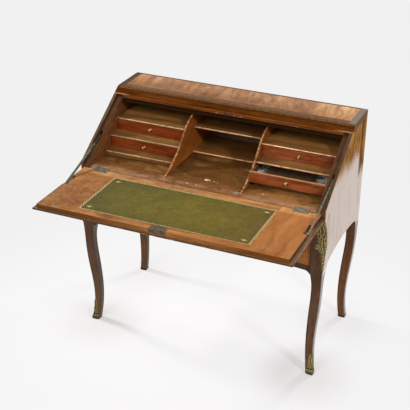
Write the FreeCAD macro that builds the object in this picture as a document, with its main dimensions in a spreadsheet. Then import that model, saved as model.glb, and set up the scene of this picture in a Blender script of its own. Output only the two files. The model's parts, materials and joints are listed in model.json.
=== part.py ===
"""A slant-front writing desk on cabriole legs, in millimetres.

+X is the sitter's right, +Y points to the back, +Z is up. The origin is on the floor, in the middle of
the space that the desk takes with its fall open. Depths called "from the front" start at the plane of
the front apron, where the fall is hinged.
"""

import FreeCAD, Part
import math
import os

import Sketcher

SIZES = {
    # Case
    "case_width": 1000,
    "case_depth": 494,
    "case_height": 942,
    "slope_rise": 208,
    "top_depth": 172,
    "top_thick": 23,
    "side_thick": 30,
    "side_lip": 13.5,
    "back_thick": 14,
    "floor_thick": 18,
    "bottom_thick": 12,
    "bottom_above_skirt": 2,
    # Top rail
    "rail_ledge": 21,
    "rail_deep": 44,
    "stop_gap": 0.4,
    # Skirts of the front and the sides
    "apron_thick": 20,
    "apron_above_joint": 8,
    "side_above_joint": 20,
    "skirt_arch_rise": 16,
    "skirt_corner": 26,
    "skirt_ear_drop": 7,
    # Legs: places of the sections below the floor, below the joint of the lower leg or above the ground,
    # and how far each stands outside or inside the case's planes
    "post_fit": 0.5,
    "post_inner": 46,
    "post_long": 233,
    "leg_joint_outer": 2,
    "knee_low_rise": 60,
    "knee_low_outer": 7.5,
    "knee_drop": 103,
    "knee_outer": 10,
    "knee_high_drop": 53,
    "knee_high_outer": 5,
    "post_neck_drop": 21,
    "post_neck_outer": -0.5,
    "post_top_outer": -1,
    "neck_drop": 24,
    "neck_outer": 0.8,
    "neck_inner": 41,
    "shin_drop": 125,
    "shin_outer": -3,
    "shin_inner": 40,
    "calf_drop": 235,
    "calf_outer": -13,
    "calf_inner": 48.5,
    "ankle_height": 109,
    "ankle_outer": -21,
    "ankle_inner": 51.5,
    "foot_high_height": 36,
    "foot_high_outer": -17.5,
    "foot_high_inner": 46.5,
    "foot_outer": -13,
    "foot_inner": 42,
    "rear_lean": 0.25,
    # Interior nest
    "lining_thick": 7,
    "divider_thick": 8,
    "divider_spacing": 316,
    "divider_tip_front": 34,
    "divider_cusp_front": 203,
    "divider_cusp_height": 98,
    "divider_head_height": 170,
    "divider_low_radius": 350,
    "divider_high_radius": 190,
    "shelf_thick": 8,
    "base_thick": 20,
    "base_front": 134,
    "lower_bay_high": 43,
    "lower_shelf_front": 177,
    "upper_bay_high": 45,
    "upper_shelf_front": 235,
    "centre_shelf_front": 313,
    "centre_shelf_height": 101,
    "centre_base_front": 298,
    # Drawers
    "drawer_set_back": 3,
    "drawer_side_gap": 0.8,
    "drawer_top_gap": 1.2,
    "drawer_run_gap": 0.2,
    "drawer_back_gap": 4,
    "drawer_front_thick": 12,
    "drawer_wall": 7,
    "drawer_wall_drop": 4,
    "drawer_bottom_thick": 4,
    "drawer_bottom_rise": 3,
    "drawer_pulled": 77,
    "knob_rose_radius": 6.5,
    "knob_rose_thick": 1.5,
    "knob_stem_radius": 2.6,
    "knob_stem_long": 5,
    "knob_ball_radius": 5.5,
    # Fall
    "rebate_depth": 16.5,
    "lip_thick": 7.5,
    "lip_gap": 0.4,
    "lip_overlap": 6.5,
    "lip_back_gap": 2,
    "edge_gap": 1.5,
    "panel_side_gap": 1.5,
    "hinge_gap": 0.4,
    "leather_side_margin": 152,
    "leather_front_margin": 34.5,
    "leather_thick": 1.2,
    "leather_back_margin": 35,
    # Hinges
    "hinge_inset": 92,
    "hinge_long": 60,
    "hinge_middle": 20,
    "leaf_wide": 20,
    "leaf_thick": 2,
    "knuckle_radius": 3.5,
    "knuckle_gap": 0.3,
    "hinge_pin_radius": 1.8,
    "pin_running_gap": 0.05,
    "leaf_screw_pitch": 20,
    "leaf_screw_from_pin": 12,
    "screw_head_radius": 2.8,
    "screw_head_high": 1.4,
    "screw_radius": 1.4,
    "screw_long": 11,
    # Lock
    "lock_plate_wide": 66,
    "lock_plate_deep": 33,
    "lock_plate_thick": 2,
    "lock_edge_high": 13,
    "lock_case_wide": 54,
    "lock_case_deep": 29,
    "lock_case_high": 10,
    "lock_case_wall": 1.5,
    "bolt_wide": 20,
    "bolt_deep": 16,
    "bolt_high": 5,
    "bolt_gap": 0.3,
    "lock_screw_in": 5,
    "strike_wide": 44,
    "strike_high": 11,
    "strike_thick": 1.5,
    "bolt_travel": 8,
    "keyhole_radius": 2.6,
    "keyhole_slit_wide": 2.4,
    "keyhole_slit_long": 7,
    "escutcheon_radius": 12,
    "escutcheon_thick": 1.5,
    # Stays
    "pocket_deep": 10,
    "stay_pivot_out": 144,
    "stay_pivot_drop": 9.5,
    "keeper_inset": 20.5,
    "keeper_radius": 2,
    "keeper_sunk": 6,
    "stay_thick": 4,
    "stay_wide": 11,
    "stay_head_radius": 6.5,
    "stay_tail": 12,
    "stay_slot_gap": 0.3,
    "stay_lug_gap": 0.5,
    "stay_side_gap": 8.5,
    "pocket_clear": 4,
    "pocket_tail_clear": 9,
    "slot_down": 84,
    "slot_up": 70,
    "stud_radius": 2,
    "stud_head_radius": 3.4,
    "stud_head_thick": 1,
    "bracket_long": 42,
    "bracket_wide": 20,
    "bracket_thick": 2,
    "bracket_screw_pitch": 28,
    "bracket_lug_thick": 2.5,
    "notch_gap": 1,
    "notch_back": 53,
    # Bronze mounts
    "mount_thick": 5,
    "chute_top_drop": 15,
    "chute_side_share": 0.55,
    "chute_top_wide": 19,
    "chute_high_wide": 36,
    "chute_mid_wide": 40,
    "chute_low_rise": 15,
    "chute_low_wide": 19,
    "chute_tip_rise": 24,
    "chute_tip_wide": 9,
    "sabot_height": 90,
    "sabot_top_thick": 2.5,
    "sabot_top_wide": 11,
    "sabot_waist_height": 62,
    "sabot_waist_outer": -19.3,
    "sabot_waist_wide": 19,
    "sabot_wall": 3,
    "sabot_high_wide": 22,
    "sabot_toe": 5,
    "sabot_toe_height": 14,
    "sabot_toe_wide": 25,
    # Cutting tools reach this far past what they cut
    "overcut": 5,
}

doc = FreeCAD.newDocument("slant_front_desk")
sheet = doc.addObject("Spreadsheet::Sheet", "Sizes")
for row, (alias, value) in enumerate(SIZES.items(), start=1):
    sheet.set(f"A{row}", alias)
    sheet.set(f"B{row}", str(value))
    sheet.setAlias(f"B{row}", alias)
doc.recompute()


class Dim:
    """A size: the expression that binds it to the sheet, and its present value."""

    def __init__(self, text, value):
        self.text = text
        self.value = float(value)

    def combine(self, other, sign, value, swap=False):
        other = as_dim(other)
        first, second = (other, self) if swap else (self, other)
        return Dim(f"({first.text} {sign} {second.text})", value(first.value, second.value))

    def __add__(self, other):
        return self.combine(other, "+", lambda a, b: a + b)

    def __radd__(self, other):
        return self.combine(other, "+", lambda a, b: a + b, swap=True)

    def __sub__(self, other):
        return self.combine(other, "-", lambda a, b: a - b)

    def __rsub__(self, other):
        return self.combine(other, "-", lambda a, b: a - b, swap=True)

    def __mul__(self, other):
        return self.combine(other, "*", lambda a, b: a * b)

    def __rmul__(self, other):
        return self.combine(other, "*", lambda a, b: a * b, swap=True)

    def __truediv__(self, other):
        return self.combine(other, "/", lambda a, b: a / b)

    def __neg__(self):
        return Dim(f"(-1 * {self.text})", -self.value)


def as_dim(number):
    """A plain number as a size."""
    return number if isinstance(number, Dim) else Dim(repr(float(number)), number)


def root(size):
    """The square root of a size."""
    return Dim(f"sqrt({size.text})", math.sqrt(size.value))


def angle_of(rise, run):
    """The angle of a slope, in degrees."""
    return Dim(f"(atan2({rise.text}; {run.text}) / 1 deg)", math.degrees(math.atan2(rise.value, run.value)))


def turn(radius, degrees):
    """The two parts of a length that points at an angle."""
    radius, degrees = as_dim(radius), as_dim(degrees)
    bearing = math.radians(degrees.value)
    across = Dim(f"({radius.text} * cos({degrees.text} * 1 deg))", radius.value * math.cos(bearing))
    up = Dim(f"({radius.text} * sin({degrees.text} * 1 deg))", radius.value * math.sin(bearing))
    return across, up


def dim(alias):
    return Dim(f"Sizes.{alias}", SIZES[alias])


def bind(obj, prop, size):
    obj.setExpression(prop, as_dim(size).text)


def place(obj, at, axis=None, degrees=0):
    """Puts an object at a point, turned about an axis."""
    if axis:
        obj.Placement = FreeCAD.Placement(FreeCAD.Vector(), FreeCAD.Rotation(FreeCAD.Vector(*axis), degrees))
    for name, size in zip("xyz", at):
        bind(obj, f"Placement.Base.{name}", size)
    return obj


def box(label, low, high):
    """A block between two corners."""
    obj = doc.addObject("Part::Box", label)
    obj.Label = label
    for prop, start, end in zip(("Length", "Width", "Height"), low, high):
        bind(obj, prop, as_dim(end) - start)
    return place(obj, low)


def rod(label, radius, length, at, axis=None, degrees=0):
    """A round bar that starts at a point and runs up, or along the way that it is turned."""
    obj = doc.addObject("Part::Cylinder", label)
    obj.Label = label
    bind(obj, "Radius", radius)
    bind(obj, "Height", length)
    return place(obj, at, axis, degrees)


def join(label, pieces):
    obj = doc.addObject("Part::MultiFuse", label)
    obj.Label = label
    obj.Shapes = pieces
    return obj


def group(label, pieces):
    """Separate solids that share one node."""
    obj = doc.addObject("Part::Compound", label)
    obj.Label = label
    obj.Links = pieces
    return obj


def cut(label, base, tools):
    obj = doc.addObject("Part::Cut", label)
    obj.Label = label
    obj.Base = base
    obj.Tool = tools[0] if len(tools) == 1 else join(f"{label}_tools", tools)
    return obj


def sketch_on(body, role, name):
    """An empty sketch on one of the body's own planes."""
    plane = [feature for feature in body.Origin.OriginFeatures if feature.Role == role][0]
    sketch = body.newObject("Sketcher::SketchObject", name)
    sketch.AttachmentSupport = [(plane, "")]
    sketch.MapMode = "FlatFace"
    return sketch


def draw(sketch, points, arcs=None):
    """Draws a closed outline through points. arcs maps the number of an edge to its radius and the side
    that it swells to, 1 for the left of its direction and -1 for the right."""
    arcs = arcs or {}
    spots = [FreeCAD.Vector(as_dim(u).value, as_dim(v).value, 0) for u, v in points]
    heads = []
    for edge, start in enumerate(spots):
        end = spots[(edge + 1) % len(spots)]
        if edge in arcs:
            radius, side = arcs[edge]
            half = (end - start) * 0.5
            sagitta = radius.value - math.sqrt(radius.value**2 - half.Length**2)
            left = FreeCAD.Vector(-half.y, half.x, 0).normalize()
            middle = start + half + left * (side * sagitta)
            sketch.addGeometry(Part.Arc(start, middle, end))
        else:
            sketch.addGeometry(Part.LineSegment(start, end))
        heads.append(1 if sketch.getPoint(edge, 1).isEqual(start, 1e-6) else 2)
    for edge, head in enumerate(heads):
        following = (edge + 1) % len(heads)
        sketch.addConstraint(Sketcher.Constraint("Coincident", edge, 3 - head, following, heads[following]))
    for edge, (head, spot, point) in enumerate(zip(heads, spots, points)):
        for kind, size, value in zip(("DistanceX", "DistanceY"), point, spot):
            row = sketch.addConstraint(Sketcher.Constraint(kind, -1, 1, edge, head, value))
            bind(sketch, f"Constraints[{row}]", size)
    for edge, (radius, side) in arcs.items():
        row = sketch.addConstraint(Sketcher.Constraint("Radius", edge, radius.value))
        bind(sketch, f"Constraints[{row}]", radius)


def plate(label, role, points, depth, at, arcs=None):
    """An outline padded to a depth: along +X from YZ, along +Y from XZ and along +Z from XY."""
    body = doc.addObject("PartDesign::Body", label)
    body.Label = label
    sketch = sketch_on(body, role, f"{label}_outline")
    draw(sketch, points, arcs)
    pad = body.newObject("PartDesign::Pad", f"{label}_pad")
    pad.Profile = sketch
    pad.Reversed = role == "XZ_Plane"
    bind(pad, "Length", depth)
    return place(body, at)


# Planes and points that the pieces share
half_wide = dim("case_width") / 2
depth = dim("case_depth")
run = depth - dim("top_depth")
rise = dim("slope_rise")
slope_foot = dim("case_height") - rise
slope_long = root(run * run + rise * rise)
slope_cos = run / slope_long
slope_sin = rise / slope_long
slope_out = dim("rebate_depth") - dim("lip_gap")
hinge_z = slope_foot - slope_out / slope_cos
under_top = dim("case_height") - dim("top_thick")
bevel_y = run - dim("top_thick") * run / rise
bevel_along = bevel_y * slope_cos + (under_top - hinge_z) * slope_sin
rail_back = bevel_y + dim("rail_deep")
panel_reach = bevel_along - dim("edge_gap")
fall_reach = panel_reach + dim("lip_overlap")
front = (fall_reach - depth) / 2
post_top = hinge_z - dim("floor_thick")
post_wide = dim("post_inner") + dim("post_fit")
leg_joint = post_top - dim("post_long")
apron_end = leg_joint + dim("apron_above_joint")
side_end = leg_joint + dim("side_above_joint")
back_face = depth - dim("back_thick")
side_inner = half_wide - dim("side_thick")
lining_inner = side_inner - dim("lining_thick")
rebate_x = half_wide - dim("side_lip")
panel_half = rebate_x - dim("panel_side_gap")


def on_slope(along, out):
    """A point beside the slope: its distance from the hinge line up the slope and out of it."""
    return along * slope_cos - out * slope_sin, hinge_z + along * slope_sin + out * slope_cos


nodes = []


def node(obj):
    """Keeps a finished piece for the hand-over."""
    nodes.append(obj)
    return obj


# Stay geometry. The keeper pin lies on the circle that the stay's pivot makes about the hinge line, so a
# bar that slides on the pin turns exactly half as far as the fall does.
pivot_radius = root(
    dim("stay_pivot_out") * dim("stay_pivot_out") + dim("stay_pivot_drop") * dim("stay_pivot_drop")
)
keeper_out = slope_out - dim("keeper_inset")
keeper_along = root(pivot_radius * pivot_radius - keeper_out * keeper_out)
keeper_y, keeper_z = on_slope(keeper_along, keeper_out)
pivot_y = -dim("stay_pivot_out")
pivot_z = hinge_z - dim("stay_pivot_drop")
stay_reach = root(
    (keeper_y - pivot_y) * (keeper_y - pivot_y) + (keeper_z - pivot_z) * (keeper_z - pivot_z)
)
stay_angle = angle_of(keeper_z - pivot_z, keeper_y - pivot_y)
pivot_angle = 180 + angle_of(dim("stay_pivot_drop"), dim("stay_pivot_out"))
closing = 180 - angle_of(rise, run)
stay_long = stay_reach + dim("stay_tail")
stay_half = dim("stay_wide") / 2


def stay_point(share, along, across):
    """A point of the stay bar when the fall has closed by a share of its travel."""
    pivot = turn(pivot_radius, pivot_angle - share * closing)
    bearing = stay_angle - share / 2 * closing
    forward = turn(along, bearing)
    sideways = turn(across, bearing + 90)
    return pivot[0] + forward[0] + sideways[0], hinge_z + pivot[1] + forward[1] + sideways[1]


def skirt(middle, half_span, end_height):
    """The lower edge of a skirt between two legs: a low arch that turns down at each leg."""
    corner = dim("skirt_corner")
    flat = half_span - corner + dim("post_fit")
    ear = leg_joint - dim("skirt_ear_drop")
    arch_rise = dim("skirt_arch_rise")
    arch_radius = (flat * flat + arch_rise * arch_rise) / (2 * arch_rise)
    points = [
        (middle - half_span, ear),
        (middle - flat, end_height),
        (middle + flat, end_height),
        (middle + half_span, ear),
    ]
    return points, {0: (corner, 1), 1: (arch_radius, 1), 2: (corner, 1)}


# Side boards: notched for the posts, and slanted in front, with a rebate along the slanted edge that takes
# the edge of the fall and a routed pocket in which the stay moves
seat_out = -dim("stop_gap")
seat_points = [
    on_slope(-dim("rebate_depth"), seat_out),
    on_slope(bevel_along, seat_out),
    on_slope(bevel_along, slope_out + dim("overcut")),
    on_slope(-dim("rebate_depth"), slope_out + dim("overcut")),
]
pocket_half = stay_half + dim("pocket_clear")
tail_half = stay_half + dim("pocket_tail_clear")
pocket_end = stay_long + dim("pocket_clear")
pocket_in = side_inner + dim("stay_side_gap") - dim("stay_lug_gap")
pocket_out = pocket_in + dim("pocket_deep")
pocket_sweep = (0.85, 0.7, 0.55, 0.4, 0.25, 0.1)
pocket_points = [
    on_slope(keeper_along - dim("slot_down"), slope_out + dim("overcut")),
    on_slope(keeper_along - dim("slot_down"), slope_out),
    stay_point(0, stay_reach - pocket_half, -pocket_half),
    stay_point(1, pocket_end, -pocket_half),
    stay_point(1, pocket_end, pocket_half),
    *[stay_point(share, pocket_end, tail_half) for share in pocket_sweep],
    on_slope(keeper_along + dim("slot_up"), slope_out),
    on_slope(keeper_along + dim("slot_up"), slope_out + dim("overcut")),
]
skirt_points, skirt_arcs = skirt(depth / 2, depth / 2 - post_wide, side_end)
side_points = skirt_points + [
    (depth - post_wide, post_top),
    (depth, post_top),
    (depth, under_top),
    (bevel_y, under_top),
    (0, slope_foot),
    (0, post_top),
    (post_wide, post_top),
]
keepers = []
for side, hand in (("left", -1), ("right", 1)):
    outer_x = -half_wide if hand < 0 else side_inner
    pocket_at = (-pocket_out if hand < 0 else pocket_in, front, 0)
    name = f"side_{side}"
    side_at = (outer_x, front, 0)
    blank = plate(f"{name}_blank", "YZ_Plane", side_points, dim("side_thick"), side_at, skirt_arcs)
    pocket = plate(f"{name}_pocket", "YZ_Plane", pocket_points, dim("pocket_deep"), pocket_at)
    seat_wide = rebate_x - side_inner + dim("overcut")
    seat_x = -rebate_x if hand < 0 else side_inner - dim("overcut")
    seat = plate(f"{name}_rebate", "YZ_Plane", seat_points, seat_wide, (seat_x, front, 0))
    keeper_x = -pocket_out - dim("keeper_sunk") if hand < 0 else pocket_in
    keeper = rod(
        f"stay_keeper_{side}",
        dim("keeper_radius"),
        dim("pocket_deep") + dim("keeper_sunk"),
        (keeper_x, front + keeper_y, keeper_z),
        (0, 1, 0),
        90,
    )
    keepers.append(keeper)
    node(cut(name, blank, [seat, pocket, keeper]))
node(group("stay_keeper_pins", keepers))

# Top board, bevelled to the slope in front
top_points = [
    (bevel_y, under_top),
    (depth, under_top),
    (depth, dim("case_height")),
    (run, dim("case_height")),
]
node(plate("top_board", "YZ_Plane", top_points, dim("case_width"), (-half_wide, front, 0)))

# Top rail: its shoulder takes the lock's bolt, and the closed fall rests on its ledge
rail_nose_y, rail_nose_z = on_slope(bevel_along - dim("rail_ledge"), seat_out)
rail_points = [
    (bevel_y, under_top),
    on_slope(bevel_along, seat_out),
    (rail_nose_y, rail_nose_z),
    (rail_back, rail_nose_z),
    (rail_back, under_top),
]
bolt_out = dim("lock_plate_thick") + dim("lock_case_high") / 2
strike_seat = [
    on_slope(bevel_along + along, bolt_out + out)
    for along, out in (
        (0, -dim("strike_high") / 2),
        (dim("strike_thick"), -dim("strike_high") / 2),
        (dim("strike_thick"), dim("strike_high") / 2),
        (0, dim("strike_high") / 2),
    )
]
mortise_half = dim("bolt_high") / 2 + dim("bolt_gap")
mortise_deep = dim("bolt_travel") + dim("bolt_gap")
mortise = [
    on_slope(bevel_along + along, bolt_out + out)
    for along, out in (
        (-dim("overcut"), -mortise_half),
        (mortise_deep, -mortise_half),
        (mortise_deep, mortise_half),
        (-dim("overcut"), mortise_half),
    )
]
rail_blank = plate("top_rail_blank", "YZ_Plane", rail_points, 2 * lining_inner, (-lining_inner, front, 0))
strike_blank = plate(
    "strike_blank", "YZ_Plane", strike_seat, dim("strike_wide"), (-dim("strike_wide") / 2, front, 0)
)
mortise_wide = dim("bolt_wide") + 2 * dim("bolt_gap")
bolt_mortise = plate("bolt_mortise", "YZ_Plane", mortise, mortise_wide, (-mortise_wide / 2, front, 0))
node(cut("top_rail", rail_blank, [strike_blank, bolt_mortise]))
node(cut("strike_plate", strike_blank, [bolt_mortise]))

# Back panel, between the sides and between the rear posts
post_inner_x = half_wide - post_wide
back_points = [
    (-post_inner_x, side_end),
    (post_inner_x, side_end),
    (post_inner_x, post_top),
    (side_inner, post_top),
    (side_inner, under_top),
    (-side_inner, under_top),
    (-side_inner, post_top),
    (-post_inner_x, post_top),
]
node(plate("back_panel", "XZ_Plane", back_points, dim("back_thick"), (0, front + back_face, 0)))

# Front apron: a low arch between the front legs
apron_points, apron_arcs = skirt(0, post_inner_x, apron_end)
apron_points += [(post_inner_x, post_top), (-post_inner_x, post_top)]
apron_at = (0, front + dim("hinge_gap"), 0)
node(plate("front_apron", "XZ_Plane", apron_points, dim("apron_thick"), apron_at, apron_arcs))

# Bottom board, notched round the four posts
apron_back = dim("hinge_gap") + dim("apron_thick")
rear_notch = depth - post_wide
bottom_points = [
    (-post_inner_x, apron_back),
    (post_inner_x, apron_back),
    (post_inner_x, post_wide),
    (side_inner, post_wide),
    (side_inner, rear_notch),
    (post_inner_x, rear_notch),
    (post_inner_x, back_face),
    (-post_inner_x, back_face),
    (-post_inner_x, rear_notch),
    (-side_inner, rear_notch),
    (-side_inner, post_wide),
    (-post_inner_x, post_wide),
]
bottom_at = (0, front, side_end + dim("skirt_arch_rise") + dim("bottom_above_skirt"))
node(plate("bottom_board", "XY_Plane", bottom_points, dim("bottom_thick"), bottom_at))


# Legs: a curved lower leg that swells into the knee and ends above as the corner post
def section(body, name, height, x_range, y_range):
    """A rectangle across a leg or a mount at a height."""
    sketch = sketch_on(body, "XY_Plane", name)
    bind(sketch, "AttachmentOffset.Base.z", height)
    (x_low, x_high), (y_low, y_high) = x_range, y_range
    draw(sketch, [(x_low, y_low), (x_high, y_low), (x_high, y_high), (x_low, y_high)])
    return sketch


def corner_ranges(hand, rear, outer, inner):
    """The spans in X and Y of a section at a corner of the case, from its two insets."""
    x_out, x_in = half_wide + outer, half_wide - inner
    x_range = (x_in, x_out) if hand > 0 else (-x_out, -x_in)
    y_range = (depth - inner, depth + outer) if rear else (-outer, as_dim(inner))
    return x_range, y_range


def loft(body, name, sections):
    feature = body.newObject("PartDesign::AdditiveLoft", name)
    feature.Profile = sections[0]
    feature.Sections = sections[1:]
    return feature


leg_inner = dim("post_inner")
knee_low = leg_joint + dim("knee_low_rise")
knee = post_top - dim("knee_drop")
knee_high = post_top - dim("knee_high_drop")
lower_leg = [
    (dim("foot_high_height"), dim("foot_high_outer"), dim("foot_high_inner")),
    (dim("ankle_height"), dim("ankle_outer"), dim("ankle_inner")),
    (leg_joint - dim("calf_drop"), dim("calf_outer"), dim("calf_inner")),
    (leg_joint - dim("shin_drop"), dim("shin_outer"), dim("shin_inner")),
    (leg_joint - dim("neck_drop"), dim("neck_outer"), dim("neck_inner")),
    (leg_joint, dim("leg_joint_outer"), leg_inner),
]
upper_leg = [
    (knee_low, dim("knee_low_outer"), leg_inner),
    (knee, dim("knee_outer"), leg_inner),
    (knee_high, dim("knee_high_outer"), leg_inner),
    (post_top - dim("post_neck_drop"), dim("post_neck_outer"), leg_inner),
    (post_top, dim("post_top_outer"), leg_inner),
]


def leg(label, hand, rear):
    """One leg. The rear legs have no knee, and curve in less at the back than at the side."""
    body = doc.addObject("PartDesign::Body", label)
    body.Label = label
    foot = (as_dim(0), dim("foot_outer"), dim("foot_inner"))
    lower = [foot, *lower_leg]
    upper = [lower_leg[-1], *upper_leg]
    if rear:
        lower = [foot, *lower_leg[:4], (*lower_leg[4][:1], as_dim(0), lower_leg[4][2])]
        lower.append((leg_joint, as_dim(0), leg_inner))
        upper = [(leg_joint, as_dim(0), leg_inner), (post_top, as_dim(0), leg_inner)]
    lean_share = dim("rear_lean") if rear else as_dim(0)
    for part, stations in (("lower", lower), ("upper", upper)):
        sections = []
        for number, (height, outer, inner) in enumerate(stations):
            lean = outer * lean_share
            x_range = corner_ranges(hand, rear, outer, inner)[0]
            y_range = corner_ranges(hand, rear, outer - lean, inner + lean)[1]
            sections.append(section(body, f"{label}_{part}_{number}", height, x_range, y_range))
        loft(body, f"{label}_{part}", sections)
    return place(body, (0, front, 0))


legs = {}
for end, rear in (("front", False), ("rear", True)):
    for side, hand in (("left", -1), ("right", 1)):
        legs[end, side] = node(leg(f"leg_{end}_{side}", hand, rear))

# Bronze mounts on the outer corners of the front legs: a chute on each knee and a sabot on each foot.
# Each station has its height, the leg's outer inset there, the mount's thickness and its width in front;
# a chute reaches less far round the side of the leg.
chute_thick = dim("mount_thick")
sabot_wall = dim("sabot_wall")
mount_side_shares = {"chute": dim("chute_side_share"), "sabot": as_dim(1)}
mount_stations = {
    "chute": [
        (leg_joint + dim("chute_tip_rise"), dim("leg_joint_outer"), chute_thick, dim("chute_tip_wide")),
        (knee_low + dim("chute_low_rise"), dim("knee_low_outer"), chute_thick, dim("chute_low_wide")),
        (knee, dim("knee_outer"), chute_thick, dim("chute_mid_wide")),
        (knee_high, dim("knee_high_outer"), chute_thick, dim("chute_high_wide")),
        (post_top - dim("chute_top_drop"), dim("post_neck_outer"), chute_thick, dim("chute_top_wide")),
    ],
    "sabot": [
        (as_dim(0), dim("foot_outer"), dim("sabot_toe"), dim("sabot_toe_wide")),
        (dim("sabot_toe_height"), dim("foot_outer"), dim("sabot_toe"), dim("sabot_toe_wide")),
        (dim("foot_high_height"), dim("foot_high_outer"), sabot_wall, dim("sabot_high_wide")),
        (dim("sabot_waist_height"), dim("sabot_waist_outer"), sabot_wall, dim("sabot_waist_wide")),
        (dim("sabot_height"), dim("ankle_outer"), dim("sabot_top_thick"), dim("sabot_top_wide")),
    ],
}
for mount, stations in mount_stations.items():
    for side, hand in (("left", -1), ("right", 1)):
        name = f"{mount}_{side}"
        blank = doc.addObject("PartDesign::Body", f"{name}_blank")
        sections = []
        for number, (height, outer, thick, wide) in enumerate(stations):
            x_range = corner_ranges(hand, False, outer + thick, wide - outer)[0]
            side_wide = wide * mount_side_shares[mount]
            y_range = corner_ranges(hand, False, outer + thick, side_wide - outer)[1]
            sections.append(section(blank, f"{name}_{number}", height, x_range, y_range))
        loft(blank, f"{name}_loft", sections)
        place(blank, (0, front, 0))
        node(cut(name, blank, [legs["front", side]]))


# Screws: identical countersunk wood screws, heads up
def screw(label, x, y, z):
    head = doc.addObject("Part::Cone", f"{label}_head")
    bind(head, "Radius1", dim("screw_radius"))
    bind(head, "Radius2", dim("screw_head_radius"))
    bind(head, "Height", dim("screw_head_high"))
    place(head, (x, front + y, z - dim("screw_head_high")))
    shank_at = (x, front + y, z - dim("screw_long"))
    shank = rod(f"{label}_shank", dim("screw_radius"), dim("screw_long"), shank_at)
    return join(label, [head, shank])


# Hinges: case leaf with the two end knuckles, fall leaf with the middle one, and the pin
def knuckle(label, radius, x_low, x_high):
    return rod(label, radius, x_high - x_low, (x_low, front, hinge_z), (0, 1, 0), 90)


hinge_half = dim("hinge_long") / 2
middle_half = dim("hinge_middle") / 2
web = dim("knuckle_radius") + dim("knuckle_gap")
leaf_low = hinge_z - dim("leaf_thick")
case_screws = []
fall_screws = []
leaf_blanks = {}
hinge_pins = {}
leaf_seats = {"case": [], "fall": []}
for side, hand in (("left", -1), ("right", 1)):
    middle = hand * (half_wide - dim("hinge_inset"))
    ends = (middle - hinge_half, middle + hinge_half)
    gap = dim("knuckle_gap") / 2
    inner_ends = (middle - middle_half, middle + middle_half)
    hinge_pins[side] = knuckle(f"hinge_pin_{side}", dim("hinge_pin_radius"), *ends)
    bore = knuckle(f"hinge_bore_{side}", dim("hinge_pin_radius") + dim("pin_running_gap"), *ends)
    groove = knuckle(f"hinge_groove_{side}", web, ends[0] - gap, ends[1] + gap)
    spans = {
        "case": [(ends[0], inner_ends[0] - gap), (inner_ends[1] + gap, ends[1])],
        "fall": [(inner_ends[0] + gap, inner_ends[1] - gap)],
    }
    for part, way, screws in (("case", 1, case_screws), ("fall", -1, fall_screws)):
        near, far = sorted((way * web, way * dim("leaf_wide")), key=lambda size: size.value)
        name = f"hinge_{part}_leaf_{side}"
        pieces = [box(f"{name}_flap", (ends[0], front + near, leaf_low), (ends[1], front + far, hinge_z))]
        for number, (low, high) in enumerate(spans[part]):
            inner, outer = sorted((as_dim(0), way * web), key=lambda size: size.value)
            pieces.append(
                box(f"{name}_web_{number}", (low, front + inner, leaf_low), (high, front + outer, hinge_z))
            )
            pieces.append(knuckle(f"{name}_knuckle_{number}", dim("knuckle_radius"), low, high))
        holes = [
            screw(
                f"{name}_screw_{number}",
                middle + step * dim("leaf_screw_pitch"),
                way * dim("leaf_screw_from_pin"),
                hinge_z,
            )
            for number, step in enumerate((-1, 0, 1))
        ]
        screws += holes
        pin_hole = hinge_pins[side] if part == "case" else bore
        node(cut(name, join(f"{name}_blank", pieces), [pin_hole, *holes]))
        seat_low, seat_high = sorted((as_dim(0), way * dim("leaf_wide")), key=lambda size: size.value)
        seat_top = (ends[1], front + seat_high, hinge_z + dim("overcut"))
        leaf_seats[part] += [groove, box(f"{name}_seat", (ends[0], front + seat_low, leaf_low), seat_top)]
    node(hinge_pins[side])

# Desk floor, level with the open fall
floor_blank = box(
    "desk_floor_blank",
    (-side_inner, front + dim("hinge_gap"), post_top),
    (side_inner, front + back_face, hinge_z),
)
node(group("hinge_case_screws", case_screws))
node(cut("desk_floor", floor_blank, [*leaf_seats["case"], *case_screws]))

# Linings, dividers, shelves and bases of the interior
lining_points = [
    (dim("stop_gap") / slope_sin, hinge_z),
    (back_face, hinge_z),
    (back_face, under_top),
    (bevel_y, under_top),
    on_slope(bevel_along, seat_out),
]
for side, low_x in (("left", -side_inner), ("right", lining_inner)):
    node(plate(f"lining_{side}", "YZ_Plane", lining_points, dim("lining_thick"), (low_x, front, 0)))

divider_points = [
    (dim("divider_tip_front"), hinge_z),
    (back_face, hinge_z),
    (back_face, under_top),
    (rail_back, under_top),
    (rail_back, hinge_z + dim("divider_head_height")),
    (dim("divider_cusp_front"), hinge_z + dim("divider_cusp_height")),
]
divider_arcs = {4: (dim("divider_high_radius"), -1), 5: (dim("divider_low_radius"), 1)}
divider_out = (dim("divider_spacing") + dim("divider_thick")) / 2
divider_in = divider_out - dim("divider_thick")
for side, low_x in (("left", -divider_out), ("right", divider_in)):
    name = f"divider_{side}"
    node(plate(name, "YZ_Plane", divider_points, dim("divider_thick"), (low_x, front, 0), divider_arcs))

base_top = hinge_z + dim("base_thick")
lower_shelf = base_top + dim("lower_bay_high")
lower_top = lower_shelf + dim("shelf_thick")
upper_shelf = lower_top + dim("upper_bay_high")
bays = {"left": (-lining_inner, -divider_out), "right": (divider_out, lining_inner)}
for side, (low_x, high_x) in bays.items():
    for name, face, low_z, high_z in (
        ("base", dim("base_front"), hinge_z, base_top),
        ("shelf_lower", dim("lower_shelf_front"), lower_shelf, lower_top),
        ("shelf_upper", dim("upper_shelf_front"), upper_shelf, upper_shelf + dim("shelf_thick")),
    ):
        node(box(f"{name}_{side}", (low_x, front + face, low_z), (high_x, front + back_face, high_z)))
for name, face, low_z in (
    ("centre_base", dim("centre_base_front"), hinge_z),
    ("centre_shelf", dim("centre_shelf_front"), hinge_z + dim("centre_shelf_height")),
):
    high_z = low_z + dim("shelf_thick")
    node(box(name, (-divider_in, front + face, low_z), (divider_in, front + back_face, high_z)))


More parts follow.
